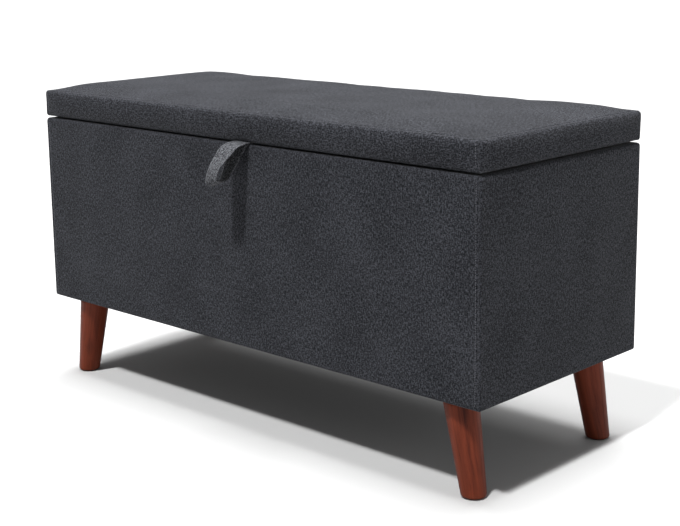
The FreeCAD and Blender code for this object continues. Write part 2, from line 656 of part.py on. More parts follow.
def main():
    panel_screws = make_panel_screws()
    leg_bolts = make_leg_bolts()
    plate_screws = make_plate_screws()
    box_hinge_screws = make_hinge_screws("-z", f"({RIM_Z} + leaf)", "hinge_box_screws")
    lid_hinge_screws = make_hinge_screws("z", f"({LID_Z} - leaf)", "hinge_lid_screws")
    stay_screws = make_stay_screws()
    bracket_screws = make_bracket_screws()
    staples = make_staples()
    make_box(panel_screws, leg_bolts, plate_screws, box_hinge_screws, stay_screws)
    for corner in CORNERS:
        glide = make_glide(corner)
        make_leg(corner, leg_bolts, glide)
        make_leg_plate(corner, leg_bolts, plate_screws)
    make_lid(lid_hinge_screws, bracket_screws, staples)
    for name, place_along in HINGES.items():
        make_hinge(name, place_along, box_hinge_screws, lid_hinge_screws)
    for name, side in SIDES.items():
        make_stay(name, side, stay_screws)
        make_stay_bracket(name, side, bracket_screws)
    make_tab_tail(staples)
    make_pull_tab()
    doc.recompute()
    for thing in doc.Objects:
        if {"Invalid", "Error"} & set(thing.State):
            raise RuntimeError(f"{thing.Label} did not recompute: {thing.State}")
    for thing in pieces:
        if thing.Shape.isNull() or not thing.Shape.isValid() or not thing.Shape.Solids:
            raise RuntimeError(f"{thing.Label} has no valid shape")
    os.makedirs("parts", exist_ok=True)
    for thing in pieces:
        thing.Shape.exportStep(f"parts/{thing.Label}.step")
        print(f"{thing.Label}: {len(thing.Shape.Solids)} solid(s), {thing.Shape.Volume / 1000:.2f} cm3")
    whole = Part.makeCompound([thing.Shape for thing in pieces]).BoundBox
    print("size", whole.XLength, whole.YLength, whole.ZLength, "middle", whole.Center, "low", whole.ZMin)


main()
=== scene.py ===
"""Upholstered storage bench: cloth-covered box, padded hinged lid, strap pull tab, turned legs."""

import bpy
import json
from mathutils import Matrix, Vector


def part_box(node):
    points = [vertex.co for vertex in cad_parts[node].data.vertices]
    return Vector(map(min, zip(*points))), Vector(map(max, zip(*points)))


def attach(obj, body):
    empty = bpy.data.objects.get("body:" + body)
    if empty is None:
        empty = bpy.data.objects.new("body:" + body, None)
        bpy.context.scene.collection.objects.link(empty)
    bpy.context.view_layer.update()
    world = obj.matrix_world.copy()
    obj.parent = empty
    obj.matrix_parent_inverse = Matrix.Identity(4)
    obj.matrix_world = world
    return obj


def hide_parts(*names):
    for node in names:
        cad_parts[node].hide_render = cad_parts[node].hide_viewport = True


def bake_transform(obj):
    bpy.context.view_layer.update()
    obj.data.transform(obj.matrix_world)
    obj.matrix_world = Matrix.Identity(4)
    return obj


bl_info = {
    "name": "Storage Bench",
    "version": (1, 0, 0),
    "blender": (4, 5, 0),
    "location": "View3D > Sidebar > Bench",
    "description": "Upholstery, pull tab, legs and finishes for a storage bench",
    "category": "Object",
}

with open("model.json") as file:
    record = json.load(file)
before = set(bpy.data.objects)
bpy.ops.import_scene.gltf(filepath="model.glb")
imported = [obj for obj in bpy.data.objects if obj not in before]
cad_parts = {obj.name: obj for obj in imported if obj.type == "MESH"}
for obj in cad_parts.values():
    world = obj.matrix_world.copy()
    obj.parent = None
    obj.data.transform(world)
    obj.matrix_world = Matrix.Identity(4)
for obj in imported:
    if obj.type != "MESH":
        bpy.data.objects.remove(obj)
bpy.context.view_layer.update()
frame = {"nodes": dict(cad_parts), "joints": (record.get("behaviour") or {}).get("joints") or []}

import json
import math

import bmesh
import bpy
from bpy.props import FloatProperty, FloatVectorProperty, PointerProperty
from mathutils import Matrix, Vector, noise

MM = 0.001
BOX_LOW, BOX_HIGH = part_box("box_cover")
LID_LOW, LID_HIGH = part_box("lid_cover")
BOARD_LOW, BOARD_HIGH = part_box("lid_board")
PANEL_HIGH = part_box("front_panel")[1]
DUST_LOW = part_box("dust_cover")[0]
TAB_LOW, TAB_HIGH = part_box("pull_tab")
TAIL_LOW, TAIL_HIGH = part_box("pull_tab_tail")
LEG_NAMES = ("front_left", "front_right", "back_left", "back_right")
CLOTH_MAP, GRAIN_MAP = "cloth", "grain"


def joint(name):
    return next(item for item in frame["joints"] if item["name"] == name)


# ---------------------------------------------------------------- sizes and colours
def length(label, text, default):
    return FloatProperty(name=label, description=text, default=default, min=0.0, unit="LENGTH",
                         precision=5)


def colour(label, text, default):
    return FloatVectorProperty(name=label, description=text, default=default, size=3, min=0.0, max=1.0,
                               subtype="COLOR")


class BenchSizes(bpy.types.PropertyGroup):
    """Sizes of the soft pieces and of their sewing."""
    cloth: length("Cloth", "Thickness of the upholstery cloth", 1.0 * MM)
    grid: length("Grid", "Distance between points on the flat of a cloth piece", 8.0 * MM)
    box_corner: length("Box corner", "Radius of the box's upright corners", 3.0 * MM)
    box_rim: length("Box rim", "Radius of the box's top edge", 6.0 * MM)
    box_foot: length("Box foot", "Radius of the box's lower edge", 4.0 * MM)
    box_bulge: length("Box bulge", "How far the padding lifts the middle of the box's faces", 1.2 * MM)
    lid_corner: length("Lid corner", "Radius of the lid's upright corners", 6.0 * MM)
    lid_seam: length("Lid seam", "Radius of the lid's top edge", 4.0 * MM)
    lid_foot: length("Lid foot", "Radius of the lid's lower edge", 4.5 * MM)
    lid_bulge: length("Lid bulge", "How far the foam pushes out the lid's sides", 2.6 * MM)
    lid_lean: length("Lid lean", "How far the lid's sides draw in towards their foot", 2.2 * MM)
    crown: length("Crown", "Height of the foam's crown before the cloth is tightened", 10.5 * MM)
    crown_run: length("Crown run", "Distance from the edge over which the crown rises", 62.0 * MM)
    swell: length("Swell", "Furthest that the cloth may move when the foam fills it", 3.2 * MM)
    pucker: length("Pucker", "Height of the puckers beside a seam", 0.7 * MM)
    ease: length("Ease", "Height of the slow waves in the top panel", 1.1 * MM)
    strap: length("Strap", "Thickness of the pull tab's strap", 2.1 * MM)
    strap_lean: length("Strap lean", "How much lower the loop's left edge hangs than its middle", 5.0 * MM)
    strap_turn: FloatProperty(name="Strap turn", description="How far the loop is turned to its left",
                              default=math.radians(4), subtype="ANGLE")
    stitch: length("Stitch", "Length of a stitch", 2.6 * MM)
    stitch_pitch: length("Stitch pitch", "Distance from one stitch to the next", 3.6 * MM)
    thread: length("Thread", "Radius of the sewing thread", 0.32 * MM)
    seam_inset: length("Seam inset", "Distance of the topstitching from a corner", 6.0 * MM)
    staple_pitch: length("Staple pitch", "Distance between staples under the box and the lid", 38.0 * MM)
    leg_foot_round: length("Foot rounding", "Radius of a leg's lower edge", 3.5 * MM)


class BenchColours(bpy.types.PropertyGroup):
    """Colours of the cloth, wood, metal and plastic."""
    cloth_dark: colour("Dark yarn", "Darkest yarn of the upholstery cloth", (0.005, 0.0054, 0.0068))
    cloth_light: colour("Light yarn", "Lightest yarn of the upholstery cloth", (0.050, 0.0525, 0.062))
    # Painted light: the strap is the box's cloth, its light yarn painted lighter to stand in for the light
    # that falls on the strap.
    strap_light: colour("Strap yarn", "Lightest yarn of the pull tab's strap", (0.125, 0.129, 0.142))
    thread: colour("Thread", "Sewing thread", (0.050, 0.052, 0.060))
    lining: colour("Lining", "Non-woven lining and dust cover", (0.012, 0.012, 0.013))
    wood_light: colour("Stained wood", "Lighter wood of the legs", (0.140, 0.027, 0.011))
    wood_dark: colour("Dark grain", "Grain and knots of the legs", (0.016, 0.004, 0.003))
    pine: colour("Pine", "Untreated corner posts", (0.560, 0.360, 0.180))
    board: colour("Board", "Fibreboard of the box and the lid", (0.330, 0.220, 0.120))
    steel: colour("Steel", "Zinc-plated hinges and screws", (0.520, 0.520, 0.500))
    black_steel: colour("Black steel", "Painted leg plates and stay arms", (0.020, 0.020, 0.022))
    plastic: colour("Plastic", "Damper cases and glides", (0.018, 0.018, 0.019))
    foam: colour("Foam", "Foam and wadding", (0.700, 0.640, 0.430))


# ---------------------------------------------------------------- shader writing
SOCKETS = {
    "base_color": "Base Color", "roughness": "Roughness", "metallic": "Metallic", "normal": "Normal",
    "coat_weight": "Coat Weight", "coat_roughness": "Coat Roughness", "sheen_weight": "Sheen Weight",
    "sheen_roughness": "Sheen Roughness", "specular": "Specular IOR Level",
}


class Value:
    """A socket that takes Python's arithmetic."""

    def __init__(self, writer, socket):
        self.writer, self.socket = writer, socket

    def math(self, operation, *others):
        values = dict(enumerate((self,) + others))
        return self.writer.node("ShaderNodeMath", {"operation": operation}, values)

    def __add__(self, other):
        return self.math("ADD", other)

    def __sub__(self, other):
        return self.math("SUBTRACT", other)

    def __mul__(self, other):
        return self.math("MULTIPLY", other)

    def __rsub__(self, other):
        return self.writer.node("ShaderNodeMath", {"operation": "SUBTRACT"}, {0: other, 1: self})

    __radd__ = __add__
    __rmul__ = __mul__

    def __abs__(self):
        return self.math("ABSOLUTE")

    def clamp(self):
        return self.writer.node("ShaderNodeClamp", {}, {"Value": self})

    def part(self, axis):
        return self.writer.node("ShaderNodeSeparateXYZ", {}, {0: self}, axis)


class Writer:
    """Adds nodes to a tree."""

    def plug(self, socket, value):
        if isinstance(value, Value):
            self.tree.links.new(value.socket, socket)
        elif getattr(socket, "type", "") == "RGBA":
            socket.default_value = (*value[:3], 1.0)
        else:
            socket.default_value = value

    def node(self, kind, settings=None, sockets=None, out=0):
        """One node: its settings first, then the values or links of its sockets."""
        made = self.tree.nodes.new(kind)
        for key, value in (settings or {}).items():
            if key == "stops":
                ramp = made.color_ramp.elements
                for index, (place, shade) in enumerate(value):
                    stop = ramp[index] if index < 2 else ramp.new(place)
                    stop.position, stop.color = place, (shade, shade, shade, 1.0)
            else:
                setattr(made, key, value)
        for key, value in (sockets or {}).items():
            self.plug(made.inputs[key], value)
        return Value(self, made.outputs[out])

    def vector(self, operation, *values):
        return self.node("ShaderNodeVectorMath", {"operation": operation}, dict(enumerate(values)))

    def xyz(self, x=0.0, y=0.0, z=0.0):
        return self.node("ShaderNodeCombineXYZ", {}, {0: x, 1: y, 2: z})


class Finish(Writer):
    """Writes one material around a Principled shader."""

    def __init__(self, name, **constants):
        self.material = bpy.data.materials.new(name)
        self.material.use_nodes = True
        self.tree = self.material.node_tree
        self.tree.nodes.clear()
        self.shader = self.tree.nodes.new("ShaderNodeBsdfPrincipled")
        output = self.tree.nodes.new("ShaderNodeOutputMaterial")
        self.tree.links.new(self.shader.outputs[0], output.inputs[0])
        for key, value in constants.items():
            self.shader.inputs[SOCKETS[key]].default_value = value

    def cloth_map(self):
        return self.node("ShaderNodeUVMap", {"uv_map": CLOTH_MAP})

    def place(self):
        return self.node("ShaderNodeTexCoord", out=3)

    def grain_map(self):
        return self.node("ShaderNodeAttribute", {"attribute_name": GRAIN_MAP}, out=1)

    def stretch(self, where, scale, shift=(0.0, 0.0, 0.0)):
        """Scale is one number, or one for each axis."""
        scale = scale if isinstance(scale, tuple) else (scale,) * 3
        return self.node("ShaderNodeMapping", {}, {"Vector": where, "Location": shift, "Scale": scale})

    def noise(self, where, scale, detail, rough, shift=(0.0, 0.0, 0.0)):
        return self.node("ShaderNodeTexNoise", {}, {"Vector": self.stretch(where, scale, shift),
                         "Scale": 1.0, "Detail": detail, "Roughness": rough})

    def ramp(self, value, *stops):
        return self.node("ShaderNodeValToRGB", {"stops": stops}, {0: value}).part(0)

    def mix(self, factor, first, second):
        return self.node("ShaderNodeMix", {"data_type": "RGBA"}, {0: factor, 6: first, 7: second}, 2)

    def cells(self, where, scale, uneven=1.0):
        return self.node("ShaderNodeTexVoronoi", {"feature": "F1"},
                         {"Vector": where, "Scale": scale, "Randomness": uneven})

    def bump(self, height, distance, strength):
        return self.node("ShaderNodeBump", {}, {"Height": height, "Distance": distance,
                                                "Strength": strength})

    def done(self, **links):
        for key, value in links.items():
            self.plug(self.shader.inputs[SOCKETS[key]], value)
        return self.material


def tint(shade, times, plus=0.0):
    """A colour made darker or lighter."""
    return tuple(min(1.0, channel * times + plus) for channel in shade)


def woven_cloth(name, dark, light, yarn=1.1 * MM):
    """Plain-woven melange: dark and light fibres spun together, with slubs along both yarns."""
    finish = Finish(name, sheen_weight=0.10, sheen_roughness=0.30, specular=0.12)
    where = finish.cloth_map()
    across, along = where.part(0), where.part(1)
    warp = (across * (math.pi / yarn)).math("SINE")
    weft = (along * (math.pi / yarn)).math("SINE")
    over = (warp * weft).math("GREATER_THAN", 0.0)
    ridge = abs(warp) * over + abs(weft) * (1.0 - over)
    warp_slub = finish.noise(where, (580.0, 230.0, 1.0), 2.0, 0.6)
    weft_slub = finish.noise(where, (250.0, 580.0, 1.0), 2.0, 0.6, (7.3, 2.1, 0.0))
    fibre = finish.noise(where, (1000.0, 800.0, 1.0), 2.0, 0.7, (3.1, 9.4, 0.0))
    streak = finish.noise(where, (420.0, 90.0, 1.0), 2.0, 0.6, (1.7, 5.2, 0.0))
    cloud = finish.noise(where, (11.0, 9.0, 1.0), 2.0, 0.5)
    tone = warp_slub * 0.34 + weft_slub * 0.26 + fibre * 0.20 + streak * 0.15 + cloud * 0.05
    tone = finish.ramp(tone, (0.45, 0.0), (0.50, 0.28), (0.56, 1.0))
    shade = finish.mix(tone, dark, light)
    # Painted shade: the colour darkens towards black where the yarns dip, between them, in the recesses of
    # the weave.
    shade = finish.mix(ridge * 0.3 + 0.7, (0.0, 0.0, 0.0), shade)
    height = ridge * 0.6 + warp_slub * 0.7 + weft_slub * 0.5 + fibre * 0.3
    return finish.done(base_color=shade, roughness=finish.ramp(tone, (0.0, 0.96), (1.0, 0.84)),
                       normal=finish.bump(height, 0.30 * MM, 0.55))


def stained_wood(name, light, dark):
    """Close-grained hardwood under a red-brown stain and satin lacquer, with the odd knot."""
    finish = Finish(name, coat_roughness=0.30, specular=0.08)
    where = finish.grain_map()
    waver = finish.noise(where, (14.0, 14.0, 5.0), 2.0, 0.5)
    bent = finish.vector("MULTIPLY_ADD", waver, (0.016, 0.016, 0.0), where)
    grain = finish.noise(bent, (190.0, 190.0, 6.0), 4.0, 0.65)
    pore = finish.noise(bent, (800.0, 800.0, 24.0), 3.0, 0.7, (4.0, 1.0, 0.0))
    figure = finish.noise(bent, (40.0, 40.0, 3.5), 2.0, 0.5, (2.0, 6.0, 0.0))
    knot = finish.ramp(finish.cells(finish.stretch(bent, (26.0, 26.0, 9.0)), 1.0), (0.10, 1.0), (0.24, 0.0))
    depth = (finish.ramp(grain, (0.38, 0.0), (0.70, 1.0)) * 0.42
             + finish.ramp(figure, (0.35, 0.0), (0.75, 1.0)) * 0.34
             + finish.ramp(pore, (0.55, 0.0), (0.75, 1.0)) * 0.30 + knot * 0.2).clamp()
    height = grain * 0.4 + pore * 0.6
    return finish.done(base_color=finish.mix(depth, light, dark),
                       roughness=finish.ramp(pore, (0.3, 0.42), (0.8, 0.6)),
                       coat_weight=finish.ramp(grain, (0.3, 0.07), (0.8, 0.02)),
                       normal=finish.bump(height, 0.12 * MM, 0.5))


def raw_pine(name, shade):
    """Sawn softwood with upright grain."""
    finish = Finish(name, specular=0.3)
    where = finish.place()
    grain = finish.noise(where, (190.0, 190.0, 6.0), 4.0, 0.6)
    rings = finish.noise(where, (60.0, 60.0, 2.5), 2.0, 0.5)
    depth = finish.ramp(grain * 0.6 + rings * 0.4, (0.38, 0.0), (0.66, 1.0))
    return finish.done(base_color=finish.mix(depth, shade, tint(shade, 0.45)),
                       roughness=finish.ramp(grain, (0.3, 0.6), (0.7, 0.8)),
                       normal=finish.bump(grain, 0.2 * MM, 0.6))


def fibreboard(name, shade):
    """Pressed board: fine fibres with a few darker chips."""
    finish = Finish(name, specular=0.25)
    where = finish.place()
    fibre = finish.noise(where, 700.0, 3.0, 0.65)
    chip = finish.noise(where, (120.0, 120.0, 160.0), 2.0, 0.5)
    depth = finish.ramp(fibre * 0.5 + chip * 0.5, (0.36, 0.0), (0.66, 1.0))
    return finish.done(base_color=finish.mix(depth, shade, tint(shade, 0.5)),
                       roughness=finish.ramp(chip, (0.3, 0.75), (0.7, 0.9)),
                       normal=finish.bump(fibre, 0.15 * MM, 0.5))


def bonded_lining(name, shade):
    """Spun-bonded lining: random fibres pressed with a fine grid of dots."""
    finish = Finish(name, sheen_weight=0.05)
    where = finish.place()
    fibre = finish.noise(where, 900.0, 3.0, 0.7)
    web = finish.noise(where, 160.0, 2.0, 0.6, (2.0, 3.0, 4.0))
    dot = finish.ramp(finish.cells(where, 480.0, 0.15), (0.18, 1.0), (0.32, 0.0))
    tone = finish.ramp(fibre * 0.6 + web * 0.4, (0.38, 0.0), (0.68, 1.0))
    return finish.done(base_color=finish.mix(tone * (1.0 - dot * 0.6), shade, tint(shade, 3.2)),
                       roughness=finish.ramp(dot, (0.0, 0.92), (1.0, 0.6)),
                       normal=finish.bump(fibre - dot * 0.8, 0.2 * MM, 0.6))


def rolled_steel(name, shade, roughness=0.38, metallic=0.95):
    """Plated or painted sheet steel with faint rolling marks and a dull bloom."""
    finish = Finish(name, metallic=metallic)
    where = finish.place()
    marks = finish.noise(where, (60.0, 900.0, 900.0), 3.0, 0.6)
    bloom = finish.noise(where, 140.0, 2.0, 0.5, (5.0, 1.0, 2.0))
    dull = finish.ramp(bloom, (0.35, 0.0), (0.7, 1.0))
    return finish.done(base_color=finish.mix(dull, shade, tint(shade, 0.62)),
                       roughness=finish.ramp(marks, (0.3, roughness - 0.08), (0.7, roughness + 0.14)),
                       normal=finish.bump(marks, 0.04 * MM, 0.4))


def moulded_plastic(name, shade):
    """Spark-textured moulded plastic."""
    finish = Finish(name, specular=0.5)
    where = finish.place()
    grain = finish.noise(where, 1400.0, 2.0, 0.6)
    cloud = finish.noise(where, 45.0, 2.0, 0.5)
    worn = finish.ramp(cloud, (0.3, 0.0), (0.7, 1.0))
    return finish.done(base_color=finish.mix(worn, shade, tint(shade, 1.8, 0.004)),
                       roughness=finish.ramp(grain, (0.3, 0.42), (0.7, 0.6)),
                       normal=finish.bump(grain, 0.06 * MM, 0.5))


def cut_foam(name, shade):
    """Open-cell foam, with painted shade in its pores."""
    finish = Finish(name, specular=0.2)
    cell = finish.ramp(finish.cells(finish.place(), 700.0), (0.1, 0.0), (0.6, 1.0))
    # Painted shade: the colour is darker at the cells' middles, in the pores.
    return finish.done(base_color=finish.mix(cell, tint(shade, 0.6), shade),
                       roughness=finish.ramp(cell, (0.0, 0.95), (1.0, 0.85)),
                       normal=finish.bump(cell, 0.3 * MM, 0.6))


def sewing_thread(name, shade):
    """Twisted thread."""
    finish = Finish(name, sheen_weight=0.2)
    twist = finish.noise(finish.place(), 1800.0, 2.0, 0.6)
    return finish.done(base_color=finish.mix(twist, shade, tint(shade, 2.2)),
                       roughness=finish.ramp(twist, (0.3, 0.6), (0.7, 0.8)),
                       normal=finish.bump(twist, 0.1 * MM, 0.5))


def finishes():
    """The materials by name, made once."""
    if "upholstery cloth" in bpy.data.materials:
        return {material.name: material for material in bpy.data.materials}
    tints = bpy.context.scene.bench_colours
    shades = {key: tuple(getattr(tints, key)) for key in BenchColours.__annotations__}
    made = [
        woven_cloth("upholstery cloth", shades["cloth_dark"], shades["cloth_light"]),
        # The strap's copy of the cloth has its light yarn painted lighter, as painted light.
        woven_cloth("strap cloth", shades["cloth_dark"], shades["strap_light"]),
        stained_wood("stained wood", shades["wood_light"], shades["wood_dark"]),
        raw_pine("raw pine", shades["pine"]),
        fibreboard("fibreboard", shades["board"]),
        bonded_lining("bonded lining", shades["lining"]),
        rolled_steel("plated steel", shades["steel"]),
        rolled_steel("black steel", shades["black_steel"], 0.45, 0.3),
        moulded_plastic("moulded plastic", shades["plastic"]),
        cut_foam("cut foam", shades["foam"]),
        sewing_thread("sewing thread", shades["thread"]),
    ]
    return {material.name: material for material in made}


# ---------------------------------------------------------------- mesh helpers
LEAST_RADIUS = 0.4 * MM          # of a corner, at any inset
SLACK = 0.1 * MM                 # between the cloth and the board that it wraps
CROWN_RISE = 10.5 * MM           # from the top of the lid's sides to the top of its box
LID_SIDE_TOP = LID_HIGH.z - CROWN_RISE
FOAM_FRAMES = 20                 # that the cloth takes to settle over the foam
UNDER_RINGS = 7                  # rings of the lid's cloth from the turn of its foot inwards
STITCH_LINE = 0.86               # place of the strap's topstitching, as a share of its half width
PRESSED = 0.86                   # share of its thickness that the sewn strap keeps
ROOT_RUN = 12 * MM               # straight stretch of the strap behind its root
ROUNDINGS = 4                    # times that the corners of the strap's line are cut

# distances from an edge at which a piece of cloth has points of its own
FACE_EDGES = [edge * MM for edge in (0, 1, 2, 3, 4.5, 6, 7.5, 9.5, 12.5, 17, 23, 30)]
LID_EDGES = [edge * MM for edge in (0, 1.75, 3.5, 5.25, 7, 8, 9.5, 12, 16, 21, 27)]


def new_piece(name, mesh, material):
    """A finished object at the origin, with its place in its mesh."""
    piece = bpy.data.objects.new(name, mesh)
    bpy.context.scene.collection.objects.link(piece)
    mesh.materials.append(material)
    mesh.shade_smooth()
    return piece


def apply_modifiers(piece):
    """Swap a piece's mesh for what its modifiers make of it."""
    bpy.context.view_layer.update()
    graph = bpy.context.evaluated_depsgraph_get()
    solid = bpy.data.meshes.new_from_object(piece.evaluated_get(graph), depsgraph=graph)
    old = piece.data
    piece.modifiers.clear()
    piece.data = solid
    solid.name = piece.name
    bpy.data.meshes.remove(old)


def outward(piece, fill=False):
    """Turn every face of a closed shell outwards, after closing its open end if fill is set."""
    shell = bmesh.new()
    shell.from_mesh(piece.data)
    if fill:
        bmesh.ops.holes_fill(shell, edges=[edge for edge in shell.edges if edge.is_boundary], sides=0)
    bmesh.ops.recalc_face_normals(shell, faces=shell.faces)
    shell.to_mesh(piece.data)
    shell.free()


def smooth_step(value):
    value = min(1.0, max(0.0, value))
    return value * value * (3 - 2 * value)


def spread(low, high, step, edges):
    """Places from low to high: close together near both ends, then a step apart. Edges lists the
    distances from an end that have a point of their own."""
    inner_low, inner_high = low + edges[-1], high - edges[-1]
    count = max(1, round((inner_high - inner_low) / step))
    middle = [inner_low + (inner_high - inner_low) * index / count for index in range(count + 1)]
    return [low + edge for edge in edges[:-1]] + middle + [high - edge for edge in reversed(edges[:-1])]


class Outline:
    """A rounded rectangle drawn on a grid of places, which keeps its points at every inset."""

    def __init__(self, low, high, radius, step, edges):
        self.middle = Vector(((low.x + high.x) / 2, (low.y + high.y) / 2))
        self.half = Vector(((high.x - low.x) / 2, (high.y - low.y) / 2))
        self.radius = radius
        self.columns = spread(-self.half.x, self.half.x, step, edges)
        self.rows = spread(-self.half.y, self.half.y, step, edges)
        right, back = len(self.columns) - 1, len(self.rows) - 1
        self.path = ([(i, 0) for i in range(right)] + [(right, j) for j in range(back)]
                     + [(i, back) for i in range(right, 0, -1)] + [(0, j) for j in range(back, 0, -1)])
        spots = [self.spot(i, j, 0.0) for i, j in self.path]
        self.around = [0.0]
        for here, after in zip(spots, spots[1:] + spots[:1]):
            self.around.append(self.around[-1] + math.dist(here[:2], after[:2]))

    def spot(self, i, j, inset):
        """A grid point's place and the way out from it, at an inset from the outline."""
        radius = max(self.radius - inset, LEAST_RADIUS)
        cores, places, leans = [], [], []
        for place, half in ((self.columns[i], self.half.x), (self.rows[j], self.half.y)):
            core = half - self.radius
            cores.append((core, half - inset - radius))
            places.append(place)
            leans.append(max(0.0, abs(place) - core) / self.radius)
        out = (leans[0] * math.sqrt(1 - leans[1] ** 2 / 2), leans[1] * math.sqrt(1 - leans[0] ** 2 / 2))
        spot = []
        for place, lean, way, (core, shrunk) in zip(places, leans, out, cores):
            base = shrunk if lean > 0 else abs(place) * shrunk / core
            spot.append(math.copysign(base + radius * way, place))
        size = math.hypot(*out) or 1.0
        ways = [math.copysign(way, place) / size for way, place in zip(out, places)]
        return (spot[0] + self.middle.x, spot[1] + self.middle.y, *ways)

    def ring(self, inset):
        return [self.spot(i, j, inset) for i, j in self.path]

    def corner_distance(self, spot):
        """How far along a front or back face the point is from the nearer corner, or None."""
        if abs(spot[3]) < 0.9:
            return None
        return self.half.x - abs(spot[0] - self.middle.x)


class Skin:
    """Points and faces of a cloth piece, with the flat cloth's coordinates at each face corner."""

    def __init__(self):
        self.points, self.faces, self.cloth = [], [], []

    def add(self, points):
        start = len(self.points)
        self.points.extend(points)
        return list(range(start, len(self.points)))

    def strip(self, upper, lower, around, heights, turned=False):
        """Faces between two rings, with the grain upright, or along the strip if turned."""
        count = len(upper)
        for k in range(count):
            after = (k + 1) % count
            self.faces.append((upper[k], lower[k], lower[after], upper[after]))
            flat = ((around[k], heights[0]), (around[k], heights[1]), (around[k + 1], heights[1]),
                    (around[k + 1], heights[0]))
            self.cloth.append([(v, u) if turned else (u, v) for u, v in flat])

    def wrap(self, outline, profile, push, top=None, turned=False):
        """Rings down a profile of insets and heights, joined by faces. Push says how far a point
        stands off the outline, and top is a ring that is there already, with its inset and height."""
        rings, travels, last = ([top[0]], [0.0], top[1]) if top else ([], [], profile[0])
        travelled = 0.0
        for inset, height in profile:
            travelled -= math.dist((inset, height), last)
            last = (inset, height)
            points = []
            for spot in outline.ring(inset):
                lift = push(spot, inset, height)
                points.append((spot[0] + spot[2] * lift, spot[1] + spot[3] * lift, height))
            rings.append(self.add(points))
            travels.append(travelled)
        for index in range(len(rings) - 1):
            self.strip(rings[index], rings[index + 1], outline.around, travels[index:index + 2], turned)
        return rings

    def mesh(self, name):
        made = bpy.data.meshes.new(name)
        made.from_pydata(self.points, [], self.faces)
        layer = made.uv_layers.new(name=CLOTH_MAP)
        corners = [uv for face in self.cloth for uv in face]
        layer.data.foreach_set("uv", [number for uv in corners for number in uv])
        made.validate()
        return made


def quarter(radius, steps):
    """Insets and drops along a quarter round, from the flat on top to the upright side."""
    turns = [math.pi / 2 * step / steps for step in range(steps + 1)]
    return [(radius * (1 - math.sin(turn)), radius * (1 - math.cos(turn))) for turn in turns]


def seam_relief(sizes, away, height, seed):
    """How far a lapped seam and its puckers lift the cloth, at a distance beside the seam."""
    groove = -1.3 * MM * math.exp(-(away / (1.5 * MM)) ** 2)
    lap = 0.4 * MM * math.exp(-((away - 2.6 * MM) / (1.7 * MM)) ** 2)
    wave = noise.noise(Vector((height / (5.2 * MM), seed, away / (30 * MM))))
    wave += 0.5 * noise.noise(Vector((height / (13 * MM), seed + 7.0, away / (40 * MM))))
    return groove + lap + sizes.pucker * 1.6 * wave * math.exp(-abs(away) / (11 * MM))


def box_upholstery(sizes):
    """One skin of cloth from inside the rim, down the faces and in under the foot."""
    outline = Outline(BOX_LOW, BOX_HIGH, sizes.box_corner, sizes.grid * 1.25, FACE_EDGES)
    skin = Skin()
    low, high = BOX_LOW.z, BOX_HIGH.z
    flange = PANEL_HIGH.y - BOX_LOW.y
    hem = DUST_LOW.y - BOX_LOW.y
    profile = [(flange, high), (flange * 0.6, high)]
    profile += [(inset, high - drop) for inset, drop in quarter(sizes.box_rim, 5)]
    rows = spread(low + sizes.box_foot, high - sizes.box_rim, 3.7 * MM, [0.0, 1.5 * MM, 3.5 * MM])
    profile += [(0.0, height) for height in reversed(rows[1:-1])]
    profile += [(inset, low + drop) for inset, drop in reversed(quarter(sizes.box_foot, 4))]
    profile += [(hem * 0.6, low), (hem, low)]

    def relief(spot, inset, height):
        x, y, out_x, out_y = spot
        near = outline.corner_distance(spot)
        along = near if near is not None else outline.half.y - abs(y - outline.middle.y)
        rise = min(height - low, high - height)
        face = max(abs(out_x), abs(out_y)) ** 8
        bulge = sizes.box_bulge * smooth_step(along / 0.16) * smooth_step(rise / 0.09) * face
        drift = 0.55 * MM * noise.noise(Vector((x * 8, y * 8, height * 6)))
        lift = bulge + drift * smooth_step(along / 0.03) * smooth_step(rise / 0.025)
        if near is not None:
            seam = seam_relief(sizes, near - sizes.seam_inset, height, 3.0 * out_y)
            lift += seam * smooth_step(rise / 0.012)
        return lift * max(0.0, 1 - inset / (2 * MM))

    skin.wrap(outline, profile, relief)
    piece = new_piece("box_upholstery", skin.mesh("box_upholstery"), finishes()["upholstery cloth"])
    wall = piece.modifiers.new("wall", "SOLIDIFY")
    wall.thickness, wall.offset = sizes.cloth, -1.0
    apply_modifiers(piece)
    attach(piece, "chest")
    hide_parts("box_cover", "front_wadding", "back_wadding", "left_wadding", "right_wadding")


def fill_with_foam(piece, held, swell):
    """Tighten the cloth over the foam by blowing it out, with no point moving further than swell."""
    starts = [vertex.co.copy() for vertex in piece.data.vertices]
    group = piece.vertex_groups.new(name="held")
    group.add(held, 1.0, "REPLACE")
    cloth = piece.modifiers.new("foam", "CLOTH")
    settings = cloth.settings
    settings.quality = 5
    settings.mass = 0.3
    settings.tension_stiffness = settings.compression_stiffness = 12.0
    settings.shear_stiffness = 6.0
    settings.bending_stiffness = 1.5
    settings.use_pressure = True
    settings.uniform_pressure_force = 4.0
    settings.effector_weights.gravity = 0.0
    settings.vertex_group_mass = "held"
    cloth.point_cache.frame_start, cloth.point_cache.frame_end = 1, FOAM_FRAMES
    for moment in range(1, FOAM_FRAMES + 1):
        bpy.context.scene.frame_set(moment)
    apply_modifiers(piece)
    bpy.context.scene.frame_set(1)
    for vertex, start in zip(piece.data.vertices, starts):
        move = vertex.co - start
        if move.length > 0:
            vertex.co = start + move * (swell / (move.length + swell))
    piece.vertex_groups.clear()


